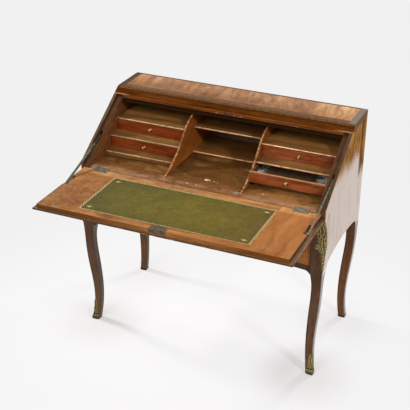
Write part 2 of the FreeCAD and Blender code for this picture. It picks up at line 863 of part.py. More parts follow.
# Drawers: front, box and knob. The right lower one stands partly pulled out.
def drawer(name, bay, shelf_front, low_z, bay_high, pulled):
    gap = dim("drawer_side_gap")
    low_x, high_x = bay[0] + gap, bay[1] - gap
    face = front + shelf_front + dim("drawer_set_back") - pulled
    rear = front + back_face - dim("drawer_back_gap") - pulled
    low = low_z + dim("drawer_run_gap")
    high = low_z + bay_high - dim("drawer_top_gap")
    wall = dim("drawer_wall")
    inside = face + dim("drawer_front_thick")
    rim = high - dim("drawer_wall_drop")
    bottom_low = low + dim("drawer_bottom_rise")
    bottom_high = bottom_low + dim("drawer_bottom_thick")
    node(box(f"{name}_front", (low_x, face, low), (high_x, inside, high)))
    pieces = [
        box(f"{name}_wall_left", (low_x, inside, low), (low_x + wall, rear, rim)),
        box(f"{name}_wall_right", (high_x - wall, inside, low), (high_x, rear, rim)),
        box(f"{name}_wall_back", (low_x + wall, rear - wall, bottom_high), (high_x - wall, rear, rim)),
        box(f"{name}_bottom", (low_x + wall, inside, bottom_low), (high_x - wall, rear, bottom_high)),
    ]
    node(group(f"{name}_box", pieces))
    knob_at = ((low_x + high_x) / 2, (low + high) / 2)
    rose = dim("knob_rose_thick")
    stem = rose + dim("knob_stem_long")
    ball = doc.addObject("Part::Sphere", f"{name}_ball")
    bind(ball, "Radius", dim("knob_ball_radius"))
    place(ball, (knob_at[0], face - stem - dim("knob_ball_radius") / 2, knob_at[1]))
    turned = [
        rod(f"{name}_rose", dim("knob_rose_radius"), rose, (knob_at[0], face, knob_at[1]), (1, 0, 0), 90),
        rod(f"{name}_stem", dim("knob_stem_radius"), stem, (knob_at[0], face, knob_at[1]), (1, 0, 0), 90),
        ball,
    ]
    node(join(f"{name}_knob", turned))


rows = {
    "upper": (dim("upper_shelf_front"), lower_top, dim("upper_bay_high")),
    "lower": (dim("lower_shelf_front"), base_top, dim("lower_bay_high")),
}
for side, bay in bays.items():
    for level, (shelf_front, low_z, bay_high) in rows.items():
        pulled = dim("drawer_pulled") if (side, level) == ("right", "lower") else as_dim(0)
        drawer(f"drawer_{side}_{level}", bay, shelf_front, low_z, bay_high, pulled)

# Lock: a plate let into the inner face and edge of the fall, the case under it, and the bolt
plate_half = dim("lock_plate_wide") / 2
lock_edge = front - panel_reach
lock_inner = lock_edge + dim("lock_plate_deep")
plate_low = hinge_z - dim("lock_plate_thick")
edge_inner = lock_edge + dim("lock_plate_thick")
lock_face = box("lock_face", (-plate_half, lock_edge, plate_low), (plate_half, lock_inner, hinge_z))
lock_nose = box(
    "lock_nose", (-plate_half, lock_edge, hinge_z - dim("lock_edge_high")), (plate_half, edge_inner, hinge_z)
)
lock_plate_blank = join("lock_plate_blank", [lock_face, lock_nose])
case_half = dim("lock_case_wide") / 2
lock_bottom = plate_low - dim("lock_case_high")
lock_case_back = edge_inner + dim("lock_case_deep")
lock_case_blank = box(
    "lock_case_blank", (-case_half, edge_inner, lock_bottom), (case_half, lock_case_back, plate_low)
)
bolt_middle = plate_low - dim("lock_case_high") / 2
bolt_half = dim("bolt_wide") / 2
bolt_low = bolt_middle - dim("bolt_high") / 2
bolt_high = bolt_middle + dim("bolt_high") / 2
bolt_back = lock_edge + dim("bolt_deep")
node(box("lock_bolt", (-bolt_half, lock_edge, bolt_low), (bolt_half, bolt_back, bolt_high)))
bolt_gap = dim("bolt_gap")
bolt_way = box(
    "bolt_way",
    (-bolt_half - bolt_gap, lock_edge - dim("overcut"), bolt_low - bolt_gap),
    (bolt_half + bolt_gap, bolt_back + bolt_gap, bolt_high + bolt_gap),
)
lock_wall = dim("lock_case_wall")
key_room = box(
    "key_room",
    (-case_half + lock_wall, bolt_back, lock_bottom + lock_wall),
    (case_half - lock_wall, lock_case_back - lock_wall, plate_low - lock_wall),
)
key_y = (bolt_back + lock_case_back) / 2
lip_low = hinge_z - dim("rebate_depth") - dim("lip_thick")
key_long = lock_bottom + lock_wall - lip_low + dim("overcut")
key_start = lip_low - dim("overcut")
key_bore = rod("key_bore", dim("keyhole_radius"), key_long, (0, key_y, key_start))
slit_half = dim("keyhole_slit_wide") / 2
slit_end = key_y - dim("keyhole_slit_long")
key_slit = box("key_slit", (-slit_half, slit_end, key_start), (slit_half, key_y, key_start + key_long))
lock_screws = [
    screw(
        f"lock_screw_{side}",
        hand * (plate_half - dim("lock_screw_in")),
        lock_inner - front - dim("lock_screw_in"),
        hinge_z,
    )
    for side, hand in (("left", -1), ("right", 1))
]
fall_screws += lock_screws
node(cut("lock_case", lock_case_blank, [bolt_way, key_room, key_bore, key_slit, *lock_screws]))
node(cut("lock_plate", lock_plate_blank, [bolt_way, *lock_screws]))
escutcheon_at = (0, key_y, lip_low - dim("escutcheon_thick"))
escutcheon_blank = rod(
    "escutcheon_blank", dim("escutcheon_radius"), dim("escutcheon_thick"), escutcheon_at
)
node(cut("escutcheon", escutcheon_blank, [key_bore, key_slit]))

# Stays: a bracket with its stud on each edge of the fall, and a slotted bar that slides on the keeper pin
ledge_z = hinge_z - dim("rebate_depth")
bracket_seats = []
panel_notches = []
for side, hand in (("left", -1), ("right", 1)):
    lug_in = side_inner + dim("stay_side_gap")
    lug_out = lug_in + dim("bracket_lug_thick")
    bar_in = lug_out + dim("stay_lug_gap")
    bar_out = bar_in + dim("stay_thick")
    foot_in = lug_in - dim("bracket_wide") / 2
    foot_out = foot_in + dim("bracket_wide")
    half_long = dim("bracket_long") / 2

    def span(inner, outer):
        return (inner, outer) if hand > 0 else (-outer, -inner)

    def across(label, radius, inner, outer):
        low_x, high_x = span(inner, outer)
        return rod(label, radius, high_x - low_x, (low_x, front + pivot_y, pivot_z), (0, 1, 0), 90)

    name = f"stay_bracket_{side}"
    low_x, high_x = span(foot_in, foot_out)
    foot_plate = box(
        f"{name}_foot",
        (low_x, front + pivot_y - half_long, ledge_z - dim("bracket_thick")),
        (high_x, front + pivot_y + half_long, ledge_z),
    )
    low_x, high_x = span(lug_in, lug_out)
    lug = box(
        f"{name}_lug",
        (low_x, front + pivot_y - dim("stay_head_radius"), ledge_z - dim("bracket_thick")),
        (high_x, front + pivot_y + dim("stay_head_radius"), pivot_z),
    )
    pieces = [
        foot_plate,
        lug,
        across(f"{name}_lug_head", dim("stay_head_radius"), lug_in, lug_out),
        across(f"{name}_stud", dim("stud_radius"), lug_in, bar_out + dim("pin_running_gap")),
        across(
            f"{name}_stud_head",
            dim("stud_head_radius"),
            bar_out + dim("pin_running_gap"),
            bar_out + dim("pin_running_gap") + dim("stud_head_thick"),
        ),
    ]
    screws = [
        screw(
            f"{name}_screw_{number}",
            hand * (foot_in + foot_out) / 2 + hand * dim("bracket_wide") / 4,
            pivot_y + step * dim("bracket_screw_pitch") / 2,
            ledge_z,
        )
        for number, step in enumerate((-1, 1))
    ]
    fall_screws += screws
    node(cut(name, join(f"{name}_blank", pieces), screws))
    bracket_seats.append(foot_plate)
    low_x, high_x = span(foot_in - dim("notch_gap"), panel_half + dim("overcut"))
    notch = box(
        f"fall_notch_{side}",
        (low_x, front + pivot_y - half_long - dim("notch_gap"), ledge_z),
        (high_x, front + pivot_y + dim("notch_back"), hinge_z + dim("overcut")),
    )
    panel_notches.append(notch)

    low_x, high_x = span(bar_in, bar_out)
    bar_points = [
        stay_point(0, as_dim(0), -stay_half),
        stay_point(0, stay_long, -stay_half),
        stay_point(0, stay_long, stay_half),
        stay_point(0, as_dim(0), stay_half),
    ]
    slot_half = dim("keeper_radius") + dim("stay_slot_gap")
    slot_start = dim("stay_pivot_drop") - keeper_out - slot_half
    slot_end = stay_reach + slot_half
    slot_points = [
        stay_point(0, slot_start, -slot_half),
        stay_point(0, slot_end, -slot_half),
        stay_point(0, slot_end, slot_half),
        stay_point(0, slot_start, slot_half),
    ]
    bar = plate(f"stay_{side}_bar", "YZ_Plane", bar_points, dim("stay_thick"), (low_x, front, 0))
    head = across(f"stay_{side}_head", dim("stay_head_radius"), bar_in, bar_out)
    slot = plate(f"stay_{side}_slot", "YZ_Plane", slot_points, dim("stay_thick"), (low_x, front, 0))
    hole = across(f"stay_{side}_hole", dim("stud_radius") + dim("pin_running_gap"), bar_in, bar_out)
    node(cut(f"stay_{side}", join(f"stay_{side}_blank", [bar, head]), [slot, hole]))

# Leather writing panel, inlaid with a margin of wood all round
leather_half = panel_half - dim("leather_side_margin")
leather_back = front - dim("leather_back_margin")
leather_front = front - panel_reach + dim("leather_front_margin")
leather_low = (-leather_half, leather_front, hinge_z - dim("leather_thick"))
leather = node(box("leather_panel", leather_low, (leather_half, leather_back, hinge_z)))

# Fall: a raised panel that fits between the slanted edges' rebates, notched for the stays, and a lip that
# overlaps the sides and the top
raised_panel = box(
    "fall_raised_panel",
    (-panel_half, front - panel_reach, ledge_z),
    (panel_half, front - dim("hinge_gap"), hinge_z),
)
lip = box(
    "fall_lip",
    (-half_wide, front - fall_reach, lip_low),
    (half_wide, front - dim("lip_back_gap"), ledge_z),
)
node(group("fall_screws", fall_screws))
fall_tools = [
    leather,
    lock_face,
    lock_nose,
    lock_case_blank,
    key_bore,
    key_slit,
    *bracket_seats,
    *panel_notches,
    *leaf_seats["fall"],
    *fall_screws,
]
node(cut("fall_board", join("fall_board_blank", [raised_panel, lip]), fall_tools))

# Check every object, then write one file for each piece
doc.recompute()
for obj in doc.Objects:
    if "Invalid" in obj.State or "Error" in obj.State:
        raise RuntimeError(f"{obj.Label} did not build: {obj.State}")
for obj in nodes:
    if obj.Shape.isNull() or not obj.Shape.isValid():
        raise RuntimeError(f"{obj.Label} is not a valid shape")
os.makedirs("parts", exist_ok=True)
for obj in nodes:
    obj.Shape.exportStep(f"parts/{obj.Label}.step")
print(len(nodes), "pieces written")
print("hinge line height", round(hinge_z.value, 3), "closing angle", round(closing.value, 3))
print("stay pivot", round((front + pivot_y).value, 3), round(pivot_z.value, 3))
print("case front", round(front.value, 3))
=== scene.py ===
import json
import math

import bmesh
import bpy
import numpy as np
from mathutils import Matrix, Vector

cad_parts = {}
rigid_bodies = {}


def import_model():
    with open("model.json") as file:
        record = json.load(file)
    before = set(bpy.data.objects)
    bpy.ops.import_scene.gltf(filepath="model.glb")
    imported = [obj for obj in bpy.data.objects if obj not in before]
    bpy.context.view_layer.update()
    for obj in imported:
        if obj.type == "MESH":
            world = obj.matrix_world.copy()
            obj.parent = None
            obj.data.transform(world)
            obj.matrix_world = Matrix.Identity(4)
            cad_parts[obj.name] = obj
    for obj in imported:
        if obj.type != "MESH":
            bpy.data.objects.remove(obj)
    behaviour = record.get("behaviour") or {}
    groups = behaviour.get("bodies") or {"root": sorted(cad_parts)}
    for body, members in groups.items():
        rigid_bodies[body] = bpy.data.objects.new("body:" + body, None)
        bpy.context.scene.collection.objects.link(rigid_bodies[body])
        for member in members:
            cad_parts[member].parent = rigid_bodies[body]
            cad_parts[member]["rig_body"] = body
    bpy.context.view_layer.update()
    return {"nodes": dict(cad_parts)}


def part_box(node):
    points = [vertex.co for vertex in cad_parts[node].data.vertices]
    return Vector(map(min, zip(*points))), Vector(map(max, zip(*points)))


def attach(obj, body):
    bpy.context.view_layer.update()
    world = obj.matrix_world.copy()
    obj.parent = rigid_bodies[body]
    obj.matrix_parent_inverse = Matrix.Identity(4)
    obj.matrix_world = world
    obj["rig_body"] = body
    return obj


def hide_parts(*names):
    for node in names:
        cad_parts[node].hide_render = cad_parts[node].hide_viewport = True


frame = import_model()


# Case sides
# Two boards with a slanted front edge, veneered on the outside. A rebate along each slanted edge
# takes the fall, and a slot in it takes the stay. The polish is glossy low down, dull above.
def cut_stock(node):
    """The node's solid as a clean bmesh, with its corners welded and its flat faces whole."""
    source = frame["nodes"][node].data
    stock = bmesh.new()
    corners = [stock.verts.new(vertex.co) for vertex in source.vertices]
    for face in source.polygons:
        stock.faces.new([corners[index] for index in face.vertices])
    bmesh.ops.remove_doubles(stock, verts=stock.verts, dist=5e-6)
    flat = math.radians(0.6)
    bmesh.ops.dissolve_limit(stock, angle_limit=flat, verts=stock.verts, edges=stock.edges)
    stock.normal_update()
    return stock


SHARP_ANGLE = 0.5
SMOOTH_ANGLE = math.radians(50)
DOUBLED = 2e-6


def ease_arrises(stock, width, shortest=0.02, segments=2, chosen=None):
    """Rounds over the sharp outer arrises that are longer than shortest, or the chosen ones."""
    sharp = [
        edge
        for edge in stock.edges
        if len(edge.link_faces) == 2
        and edge.calc_face_angle_signed() > SHARP_ANGLE
        and edge.calc_length() > shortest
        and (chosen is None or chosen((edge.verts[0].co + edge.verts[1].co) / 2))
    ]
    cutter = {"offset": width, "offset_type": "OFFSET", "segments": segments, "profile": 0.5}
    bmesh.ops.bevel(stock, geom=sharp, affect="EDGES", clamp_overlap=False, **cutter)
    bmesh.ops.remove_doubles(stock, verts=stock.verts, dist=DOUBLED)
    bmesh.ops.dissolve_degenerate(stock, dist=DOUBLED, edges=stock.edges)
    stock.normal_update()
    return stock


def set_out(name, data):
    """A new object in the scene."""
    made = bpy.data.objects.new(name, data)
    bpy.context.scene.collection.objects.link(made)
    return made


def stand_for(node, stock, finishes, pick=None):
    """Turns a worked solid into the piece that stands for a node and moves with its body."""
    name = f"{node}_worked"
    mesh = bpy.data.meshes.new(name)
    for face in stock.faces:
        face.smooth = True
        face.material_index = pick(face) if pick else 0
    stock.to_mesh(mesh)
    stock.free()
    for finish in finishes:
        mesh.materials.append(finish)
    mesh.set_sharp_from_angle(angle=SMOOTH_ANGLE)
    piece = set_out(name, mesh)
    piece.modifiers.new("even_normals", "WEIGHTED_NORMAL").keep_sharp = True
    body = frame["nodes"][node]["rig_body"]
    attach(piece, body)
    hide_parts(node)


def stand_board(node, slot, finishes, pick=None, **easing):
    """Cuts a node's solid, eases its arrises and stands it in the node's place."""
    stand_for(node, ease_arrises(cut_stock(node), **easing), finishes, pick)


class Tone:
    """A socket in a finish. Arithmetic on it adds Math nodes, and node() adds any other kind."""

    def __init__(self, tree, socket=None):
        self.tree = tree
        self.socket = socket

    def node(self, kind, settings=None, sockets=None, out=0):
        made = self.tree.nodes.new(f"ShaderNode{kind}")
        for name, value in (settings or {}).items():
            if name == "stops":
                stops = made.color_ramp.elements
                while len(stops) < len(value):
                    stops.new(1.0)
                for stop, (at, colour) in zip(stops, value):
                    stop.position = at
                    stop.color = (*colour, 1.0)
            else:
                setattr(made, name, value)
        Tone.join(made, sockets or {})
        if isinstance(out, tuple):
            return [Tone(self.tree, made.outputs[name]) for name in out]
        return Tone(self.tree, made.outputs[out])

    @staticmethod
    def join(made, sockets):
        """Links or sets the sockets of a node."""
        for name, value in sockets.items():
            socket = made.inputs[name]
            if isinstance(value, Tone):
                value.tree.links.new(value.socket, socket)
            else:
                socket.default_value = (*value, 1.0) if socket.type == "RGBA" else value

    def maths(self, operation, *terms):
        return self.node("Math", {"operation": operation}, dict(enumerate([self, *terms])))

    def __add__(self, other):
        return self.maths("ADD", other)

    __radd__ = __add__

    def __sub__(self, other):
        return self.maths("SUBTRACT", other)

    def __rsub__(self, other):
        return self * -1.0 + other

    def __mul__(self, other):
        return self.maths("MULTIPLY", other)

    __rmul__ = __mul__

    def __truediv__(self, other):
        return self.maths("DIVIDE", other)

    def __rtruediv__(self, other):
        return self ** -1.0 * other

    def __pow__(self, other):
        return self.maths("POWER", other)

    def __abs__(self):
        return self.maths("ABSOLUTE")

    def least(self, other):
        return self.maths("MINIMUM", other)

    def most(self, other):
        return self.maths("MAXIMUM", other)

    def wave(self):
        return self.maths("SINE") * 0.5 + 0.5

    def vector(self, operation, *terms, out=0):
        terms = dict(enumerate([self, *terms]))
        return self.node("VectorMath", {"operation": operation}, terms, out)

    def far_from(self, *point):
        return self.vector("DISTANCE", point, out="Value")

    def between(self, low, high):
        """0 below low and 1 above high, with a soft step between; low may be the higher one."""
        limits = {"Value": self, "From Min": low, "From Max": high}
        return self.node("MapRange", {"interpolation_type": "SMOOTHSTEP"}, limits, "Result")

    def cloud(self, per_metre, detail=3.0, rough=0.55, out=0):
        """Noise at a point, with one scale or one for each axis."""
        spread = self.vector("MULTIPLY", np.broadcast_to(per_metre, 3).tolist())
        noise = {"Vector": spread, "Scale": 1.0, "Detail": detail, "Roughness": rough}
        return spread.node("TexNoise", None, noise, out)

    def graded(self, dark, middle, light, spread=0.25):
        """A colour from dark to light as this value passes through one half."""
        stops = [(0.5 - spread, dark), (0.5, middle), (0.5 + spread, light)]
        return self.node("ValToRGB", {"stops": stops}, {"Fac": self}, "Color")

    def laid(self, colour, share, blend="MIX"):
        """This colour with another laid over it by a share."""
        settings = {"data_type": "RGBA", "blend_type": blend}
        return self.node("Mix", settings, {0: share, 6: self, 7: colour}, 2)


class Finish:
    """A material in the making, with the point on the piece in the desk's frame."""

    def __init__(self, name):
        self.material = bpy.data.materials.new(name)
        self.material.use_nodes = True
        self.tree = self.material.node_tree
        self.place = Tone(self.tree).node("TexCoord", out="Object")
        self.cloud = self.place.cloud
        self.x, self.y, self.z = self.place.node("SeparateXYZ", None, {0: self.place}, (0, 1, 2))

    def lay(self, colour, share=1.0, blend="MIX", **limits):
        """Lays a colour on by a share, which grows along x, y or z from one limit to another."""
        for axis, (low, high) in limits.items():
            share = getattr(self, axis).between(low, high) * share
        self.colour = self.colour.laid(colour, share, blend)

    def tint(self, colour, share=1.0, **limits):
        """Multiplies the finish with a colour in the same way."""
        self.lay(colour, share, "MULTIPLY", **limits)

    def close(
        self, depth=0.0004, coat=0.0, coat_rough=0.03, coat_ior=1.5, metal=0.0, specular=0.07
    ):
        """Joins the colour, roughness and height to the shader and gives the material."""
        relief = {"Strength": 0.7, "Distance": depth, "Height": self.height}
        self.bump = self.place.node("Bump", None, relief, "Normal")
        sockets = {
            "Base Color": self.colour,
            "Roughness": self.rough,
            "Normal": self.bump,
            "Coat Weight": coat,
            "Coat Roughness": coat_rough,
            "Coat IOR": coat_ior,
            "Metallic": metal,
            "Specular IOR Level": specular,
        }
        Tone.join(self.tree.nodes["Principled BSDF"], sockets)
        return self.material


DARKER, LIGHTER = (0.55, 0.48, 0.42), (1.4, 1.5, 1.6)
ALONG_GRAIN = 0.09


def shades(colour):
    """A dark and a light neighbour of a wood colour, with the colour itself between them."""
    dark, light = (tuple(np.multiply(by, colour).tolist()) for by in (DARKER, LIGHTER))
    return dark, colour, light


def timber(name, along, colour, streak=55.0, wander=0.05, shift=0.0, figure=1.0):
    """An open finish of sawn wood with its grain along an axis: streaks, rings and pores."""
    wood = Finish(name)
    wood.board = wood.place.vector("ADD", (shift, 1.7 * shift, 2.3 * shift))
    bend = wood.board.cloud(3.5, 2, out=1)
    wood.board = bend.vector("MULTIPLY_ADD", (wander,) * 3, wood.board)
    lie = np.array([ALONG_GRAIN if axis == along else 1.0 for axis in "XYZ"])
    fibre = wood.board.cloud(streak * lie, 6, 0.62)
    fine = wood.board.cloud(4 * streak * lie, 3)
    ring = (wood.board.cloud(9 * lie, 1.5) * 40.0).wave()
    tone = fibre * 0.55 + fine * 0.33 + ring * 0.12
    dark, middle, light = shades(colour)
    wood.colour = ((tone - 0.5) * figure + 0.5).graded(dark, middle, light)
    pore = wood.board.cloud(420 * lie, 2).between(0.55, 0.68)
    wood.lay(dark, pore * 0.3)
    blotch = wood.cloud(9, 4, 0.6).between(0.35, 0.68)
    wood.tint((0.7, 0.64, 0.58), blotch * 0.55)
    wood.rough = pore * 0.16 + fibre * 0.16 + 0.4
    wood.height = fibre * 0.6 - pore * 0.5
    return wood


SIDE_GOLD = (0.425, 0.213, 0.063)
POLISH_BROWN = (0.33, 0.125, 0.026)
SLANT_BROWN = (0.075, 0.04, 0.021)
REBATE_RED = (0.09, 0.038, 0.017)
PALE_ARRIS = (0.4, 0.25, 0.13)
SIDE_DARK = (0.06, 0.03, 0.015)
FOOT_ORANGE = (0.13, 0.058, 0.02)
LEFT_PAINTED_LIGHT = (1.4, 1.35, 1.25)
HANDS = (("left", -1), ("right", 1))
REBATE_X = 0.4865
SLOPE_OUT = Vector((0.0, -0.54262, 0.83998))
DULL_ABOVE = 0.81
DULL_FROM_Y = 0.3
RUN_DOWN_Y = 0.366
SIDE_GLOSS = {
    "Roughness": 0.16,
    "Specular IOR Level": 0.34,
    "Coat Weight": 1.0,
    "Coat IOR": 2.0,
    "Coat Roughness": 0.09,
}

veneer = timber("side_veneer", "Z", SIDE_GOLD, streak=30, figure=0.55)
dull_from = DULL_ABOVE - (veneer.y - DULL_FROM_Y).most(0.0) * 0.9
dull_from += (veneer.cloud((9, 9, 5), 4, 0.6) - 0.5) * 0.14
polished = (dull_from - veneer.z).between(-0.025, 0.045)
clouded = veneer.cloud((6, 20, 3), 5).graded(*shades(POLISH_BROWN), 0.3)
veneer.lay(clouded, polished * 0.7)
run_down = abs(veneer.y - RUN_DOWN_Y).between(0.026, 0.006) * veneer.z.between(0.67, 0.71)
veneer.lay((0.12, 0.052, 0.012), run_down * 0.8)
polished *= 1.0 - run_down * 0.8
smudged = veneer.cloud((14, 34, 8), 5, 0.6).between(0.47, 0.72)
polished *= 1.0 - smudged * 0.22
smear = veneer.cloud((12, 30, 9), 4, 0.6).between(0.46, 0.66)
veneer.lay((0.1, 0.038, 0.01), smear * (1.0 - polished) * 0.65)
veneer.rough *= 1.0 - polished * 0.4
veneer.height *= 1.0 - polished * 0.85
slant = timber("slant_edge_wood", "Y", SLANT_BROWN, streak=80)
rebate = timber("rebate_wood", "Y", REBATE_RED, streak=70, shift=0.9)
# The slanted edge and rebate of the left side are painted lighter, as painted light.
for wood in (slant, rebate):
    wood.tint(LEFT_PAINTED_LIGHT, x=(0.1, -0.1))


def polished_over(finish, share, gloss):
    """Lays a polished shader of the same colour over a closed finish by a share."""
    polish = {"Base Color": finish.colour, "Normal": finish.bump, **gloss}
    polish = finish.place.node("BsdfPrincipled", None, polish)
    dull = Tone(finish.tree, finish.tree.nodes["Principled BSDF"].outputs[0])
    both = finish.place.node("MixShader", None, {0: share, 1: dull, 2: polish})
    Tone.join(finish.tree.nodes["Material Output"], {"Surface": both})
    return finish.material


veneer.close(specular=0.0)
SIDE_FINISHES = [
    polished_over(veneer, polished, SIDE_GLOSS),
    slant.close(),
    rebate.close(),
    timber("worn_arris", "Y", PALE_ARRIS, streak=90).close(),
    timber("side_inner_wood", "Y", SIDE_DARK, shift=0.4).close(),
    timber("side_foot_wood", "Z", FOOT_ORANGE, streak=90, shift=0.6).close(),
]


def side_face(hand):
    def pick(face):
        outward = face.normal.x * hand
        if outward > 0.75:
            return 0 if abs(face.calc_center_median().x) > REBATE_X + 0.003 else 4
        if face.normal.dot(SLOPE_OUT) > 0.8:
            return 1 if abs(face.calc_center_median().x) > REBATE_X else 2
        if outward > 0.25 and face.normal.y < -0.3:
            return 3
        return 5 if face.normal.y < -0.9 else 4

    return pick


for side, hand in HANDS:
    stand_board(f"side_{side}", "veneer", SIDE_FINISHES, side_face(hand), width=0.0018)


# Back panel and bottom board
# Plain softwood boards that nobody was meant to see, unpolished and dusty. The back is three
# wide boards with open joints, nailed into the rebates of the sides and top.
RAW_PINE = (0.24, 0.145, 0.075)
SHADED_PINE = (0.1, 0.06, 0.036)
PINE_WIDE = 0.147
FIRST_JOINT = 0.03

raw = timber("raw_boards", "X", RAW_PINE, streak=40, shift=1.3)
up_board = (raw.z + FIRST_JOINT).maths("FLOORED_MODULO", PINE_WIDE)
joint = abs(up_board - PINE_WIDE / 2).between(0.002, 0.0)
raw.lay((0.02, 0.012, 0.007), joint * 0.9)
dust = raw.cloud(16, 5, 0.65).between(0.5, 0.75)
raw.lay((0.3, 0.25, 0.2), dust * 0.35)
raw.rough += 0.3
raw.height -= joint * 3.0
# The faces towards the front are the same pine painted darker, as painted shade inside the case.
BACK_FINISHES = [
    raw.close(0.0006),
    timber("shaded_back", "X", SHADED_PINE, shift=1.6).close(),
]


def back_face(face):
    return 1 if face.normal.y < -0.5 else 0


for node in ("back_panel", "bottom_board"):
    stand_board(node, "plain_wood", BACK_FINISHES, back_face, width=0.0012, shortest=0.01)


# Front apron
# The shaped board under the fall: a reddish veneered panel framed by dark crossbanding along
# its arched lower edge and beside each leg.
APRON_RED = (0.3, 0.104, 0.027)
BANDING = (0.037, 0.028, 0.021)
APRON_HALF = 0.4535
ARCH_TOP = 0.4878
ARCH_DROP = 0.016
STILE_WIDE = 0.004
RAIL_HIGH = 0.022
INLAY_JOINT = (-0.0004, 0.0004)

apron = timber("apron_veneer", "X", APRON_RED, streak=50, shift=0.7)
arch = ARCH_TOP - ((apron.x / APRON_HALF) ** 2.0) * ARCH_DROP
banded = (arch + RAIL_HIGH - apron.z).between(*INLAY_JOINT)
banded = banded.most((abs(apron.x) - (APRON_HALF - STILE_WIDE)).between(*INLAY_JOINT))
apron.lay(BANDING, banded * 0.9)
apron.height -= banded * 0.2
stand_board("front_apron", "veneer", [apron.close()], width=0.0015, shortest=0.004)


# Legs
# Four cabriole legs sawn from dark solid wood, squarish with softened arrises. Their tops are
# the corner posts of the case, and the rear feet stand on thin dark pads.
LEG_BROWN = (0.09, 0.042, 0.022)
POST_FOOT = 0.4638
PAD_HIGH = 0.009
PAD_PROUD = 0.0008
END_EASED = 0.0006
LEG_RINGS, POST_RINGS = 60, 24
SHADED_ARRIS = (0.03, 0.018, 0.011)
SHIN_PALER = (1.24, 1.26, 1.22)

leg_wood = timber("leg_wood", "Z", LEG_BROWN, streak=70, wander=0.03)
scuffed = leg_wood.cloud((60, 60, 14), 4).between(0.58, 0.75)
leg_wood.lay((0.17, 0.085, 0.045), scuffed * 0.4)
leg_wood.tint(SHIN_PALER, z=(0.42, 0.2))
at_rear = leg_wood.y.between(0.15, 0.25)
leg_wood.tint((1.36, 1.15, 0.85), at_rear)
pad = at_rear * leg_wood.z.between(PAD_HIGH + 0.0006, PAD_HIGH)
leg_wood.lay((0.012, 0.009, 0.007), pad)
LEG_FINISHES = [leg_wood.close(coat=0.12, coat_rough=0.25), SIDE_FINISHES[0]]
for name, coat in (("outer_flank", 1.0), ("inner_flank", 0.4)):
    flank = timber(name, "Z", LEG_BROWN, streak=70, wander=0.03)
    flank.height *= 0.3
    LEG_FINISHES.append(flank.close(coat=coat, coat_rough=0.1))
# Two diagonal arrises of each leg are painted near black, as painted shade.
LEG_FINISHES.append(timber("leg_arris_shade", "Z", SHADED_ARRIS, streak=90).close())


def leg_section(node, height):
    """Lowest and highest x and y of a leg's solid at a height."""
    mesh = frame["nodes"][node].data
    points = np.array([vertex.co for vertex in mesh.vertices])
    ends = np.array([edge.vertices for edge in mesh.edges])
    low, high = points[ends[:, 0]], points[ends[:, 1]]
    met = (low[:, 2] - height) * (high[:, 2] - height) <= 0
    met &= np.abs(high[:, 2] - low[:, 2]) > 1e-7
    low, high = low[met], high[met]
    share = ((height - low[:, 2]) / (high[:, 2] - low[:, 2]))[:, None]
    cut = low + (high - low) * share
    return cut[:, :2].min(0), cut[:, :2].max(0)


def rounded_square(low, high, radius, steps=4):
    """Points round a rectangle with rounded corners."""
    (left, front), (right, rear) = low + radius, high - radius
    points = []
    for quarter, (x, y) in enumerate(((right, rear), (left, rear), (left, front), (right, front))):
        for step in range(steps + 1):
            angle = math.pi / 2 * (quarter + step / steps)
            points.append((x + radius * math.cos(angle), y + radius * math.sin(angle)))
    return points


def bridge(stock, one, other):
    """Four-cornered faces between two rows of points."""
    for index in range(len(one) - 1):
        after = index + 1
        stock.faces.new((one[index], one[after], other[after], other[index]))


def skin_rings(rings):
    """A closed solid skinned over rings of points, with both ends capped."""
    stock = bmesh.new()
    rings = [[stock.verts.new(point) for point in ring] for ring in rings]
    for below, above in zip(rings, rings[1:]):
        bridge(stock, [*below, below[0]], [*above, above[0]])
    stock.faces.new(rings[0][::-1])
    stock.faces.new(rings[-1])
    bmesh.ops.recalc_face_normals(stock, faces=stock.faces)
    return stock


def carve_leg(node, padded):
    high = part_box(node)[1].z
    lower = np.linspace(0.012, POST_FOOT - 0.002, LEG_RINGS)
    upper = np.linspace(POST_FOOT + 0.002, high - 0.002, POST_RINGS)
    pad_levels = [0.0, 0.0008, PAD_HIGH - 0.0008, PAD_HIGH, PAD_HIGH + 0.0002]
    rings = []
    for height in [*pad_levels, *lower, *upper, high]:
        level = min(max(height, 0.00005), high - 0.00005)
        corner_low, corner_high = leg_section(node, level)
        soft = min(max((POST_FOOT - height) / 0.05, 0.0), 1.0)
        proud = PAD_PROUD if padded and height < PAD_HIGH - 0.0001 else 0.0
        if height in (0.0, high):
            proud -= END_EASED
        outline = rounded_square(corner_low - proud, corner_high + proud, 0.0012 + 0.0038 * soft)
        rings.append([(x, y, height) for x, y in outline])
    return skin_rings(rings)


def leg_face(hand):
    def pick(face):
        outward = face.normal.x * hand
        if outward > 0.7:
            return 1 if face.calc_center_median().z > POST_FOOT else 2
        if outward < -0.7:
            return 3
        # The arrises facing front-left and back-right take the painted shade.
        return 4 if face.normal.x * face.normal.y > 0.15 else 0

    return pick


for end in ("front", "rear"):
    for side, hand in HANDS:
        node = f"leg_{end}_{side}"
        stock = carve_leg(node, end == "rear")
        stand_for(node, stock, LEG_FINISHES, leg_face(hand))


# Bronze mounts of the front legs
# Cast and chased bronze pinned on the outer corners: on each knee a long chute, an acanthus leaf
# with a scroll that curls out over the front and a tail below, and a leafy sabot on each foot.
PATINA = (0.024, 0.018, 0.007)
OLD_BRASS = (0.17, 0.125, 0.045)
RUBBED_BRASS = (0.52, 0.41, 0.19)
FOOT_SHADE = (0.025, 0.019, 0.01)
MOUNT_SUNK = 0.0014
MOUNT_ROOT = -2.5 * MOUNT_SUNK
MOUNT_PROUD = 0.0047
CORNER_TURN = 0.007
CHASED_DEEP = 0.0023
CHASED_CELLS = 6
MOUNT_COLUMNS = 75

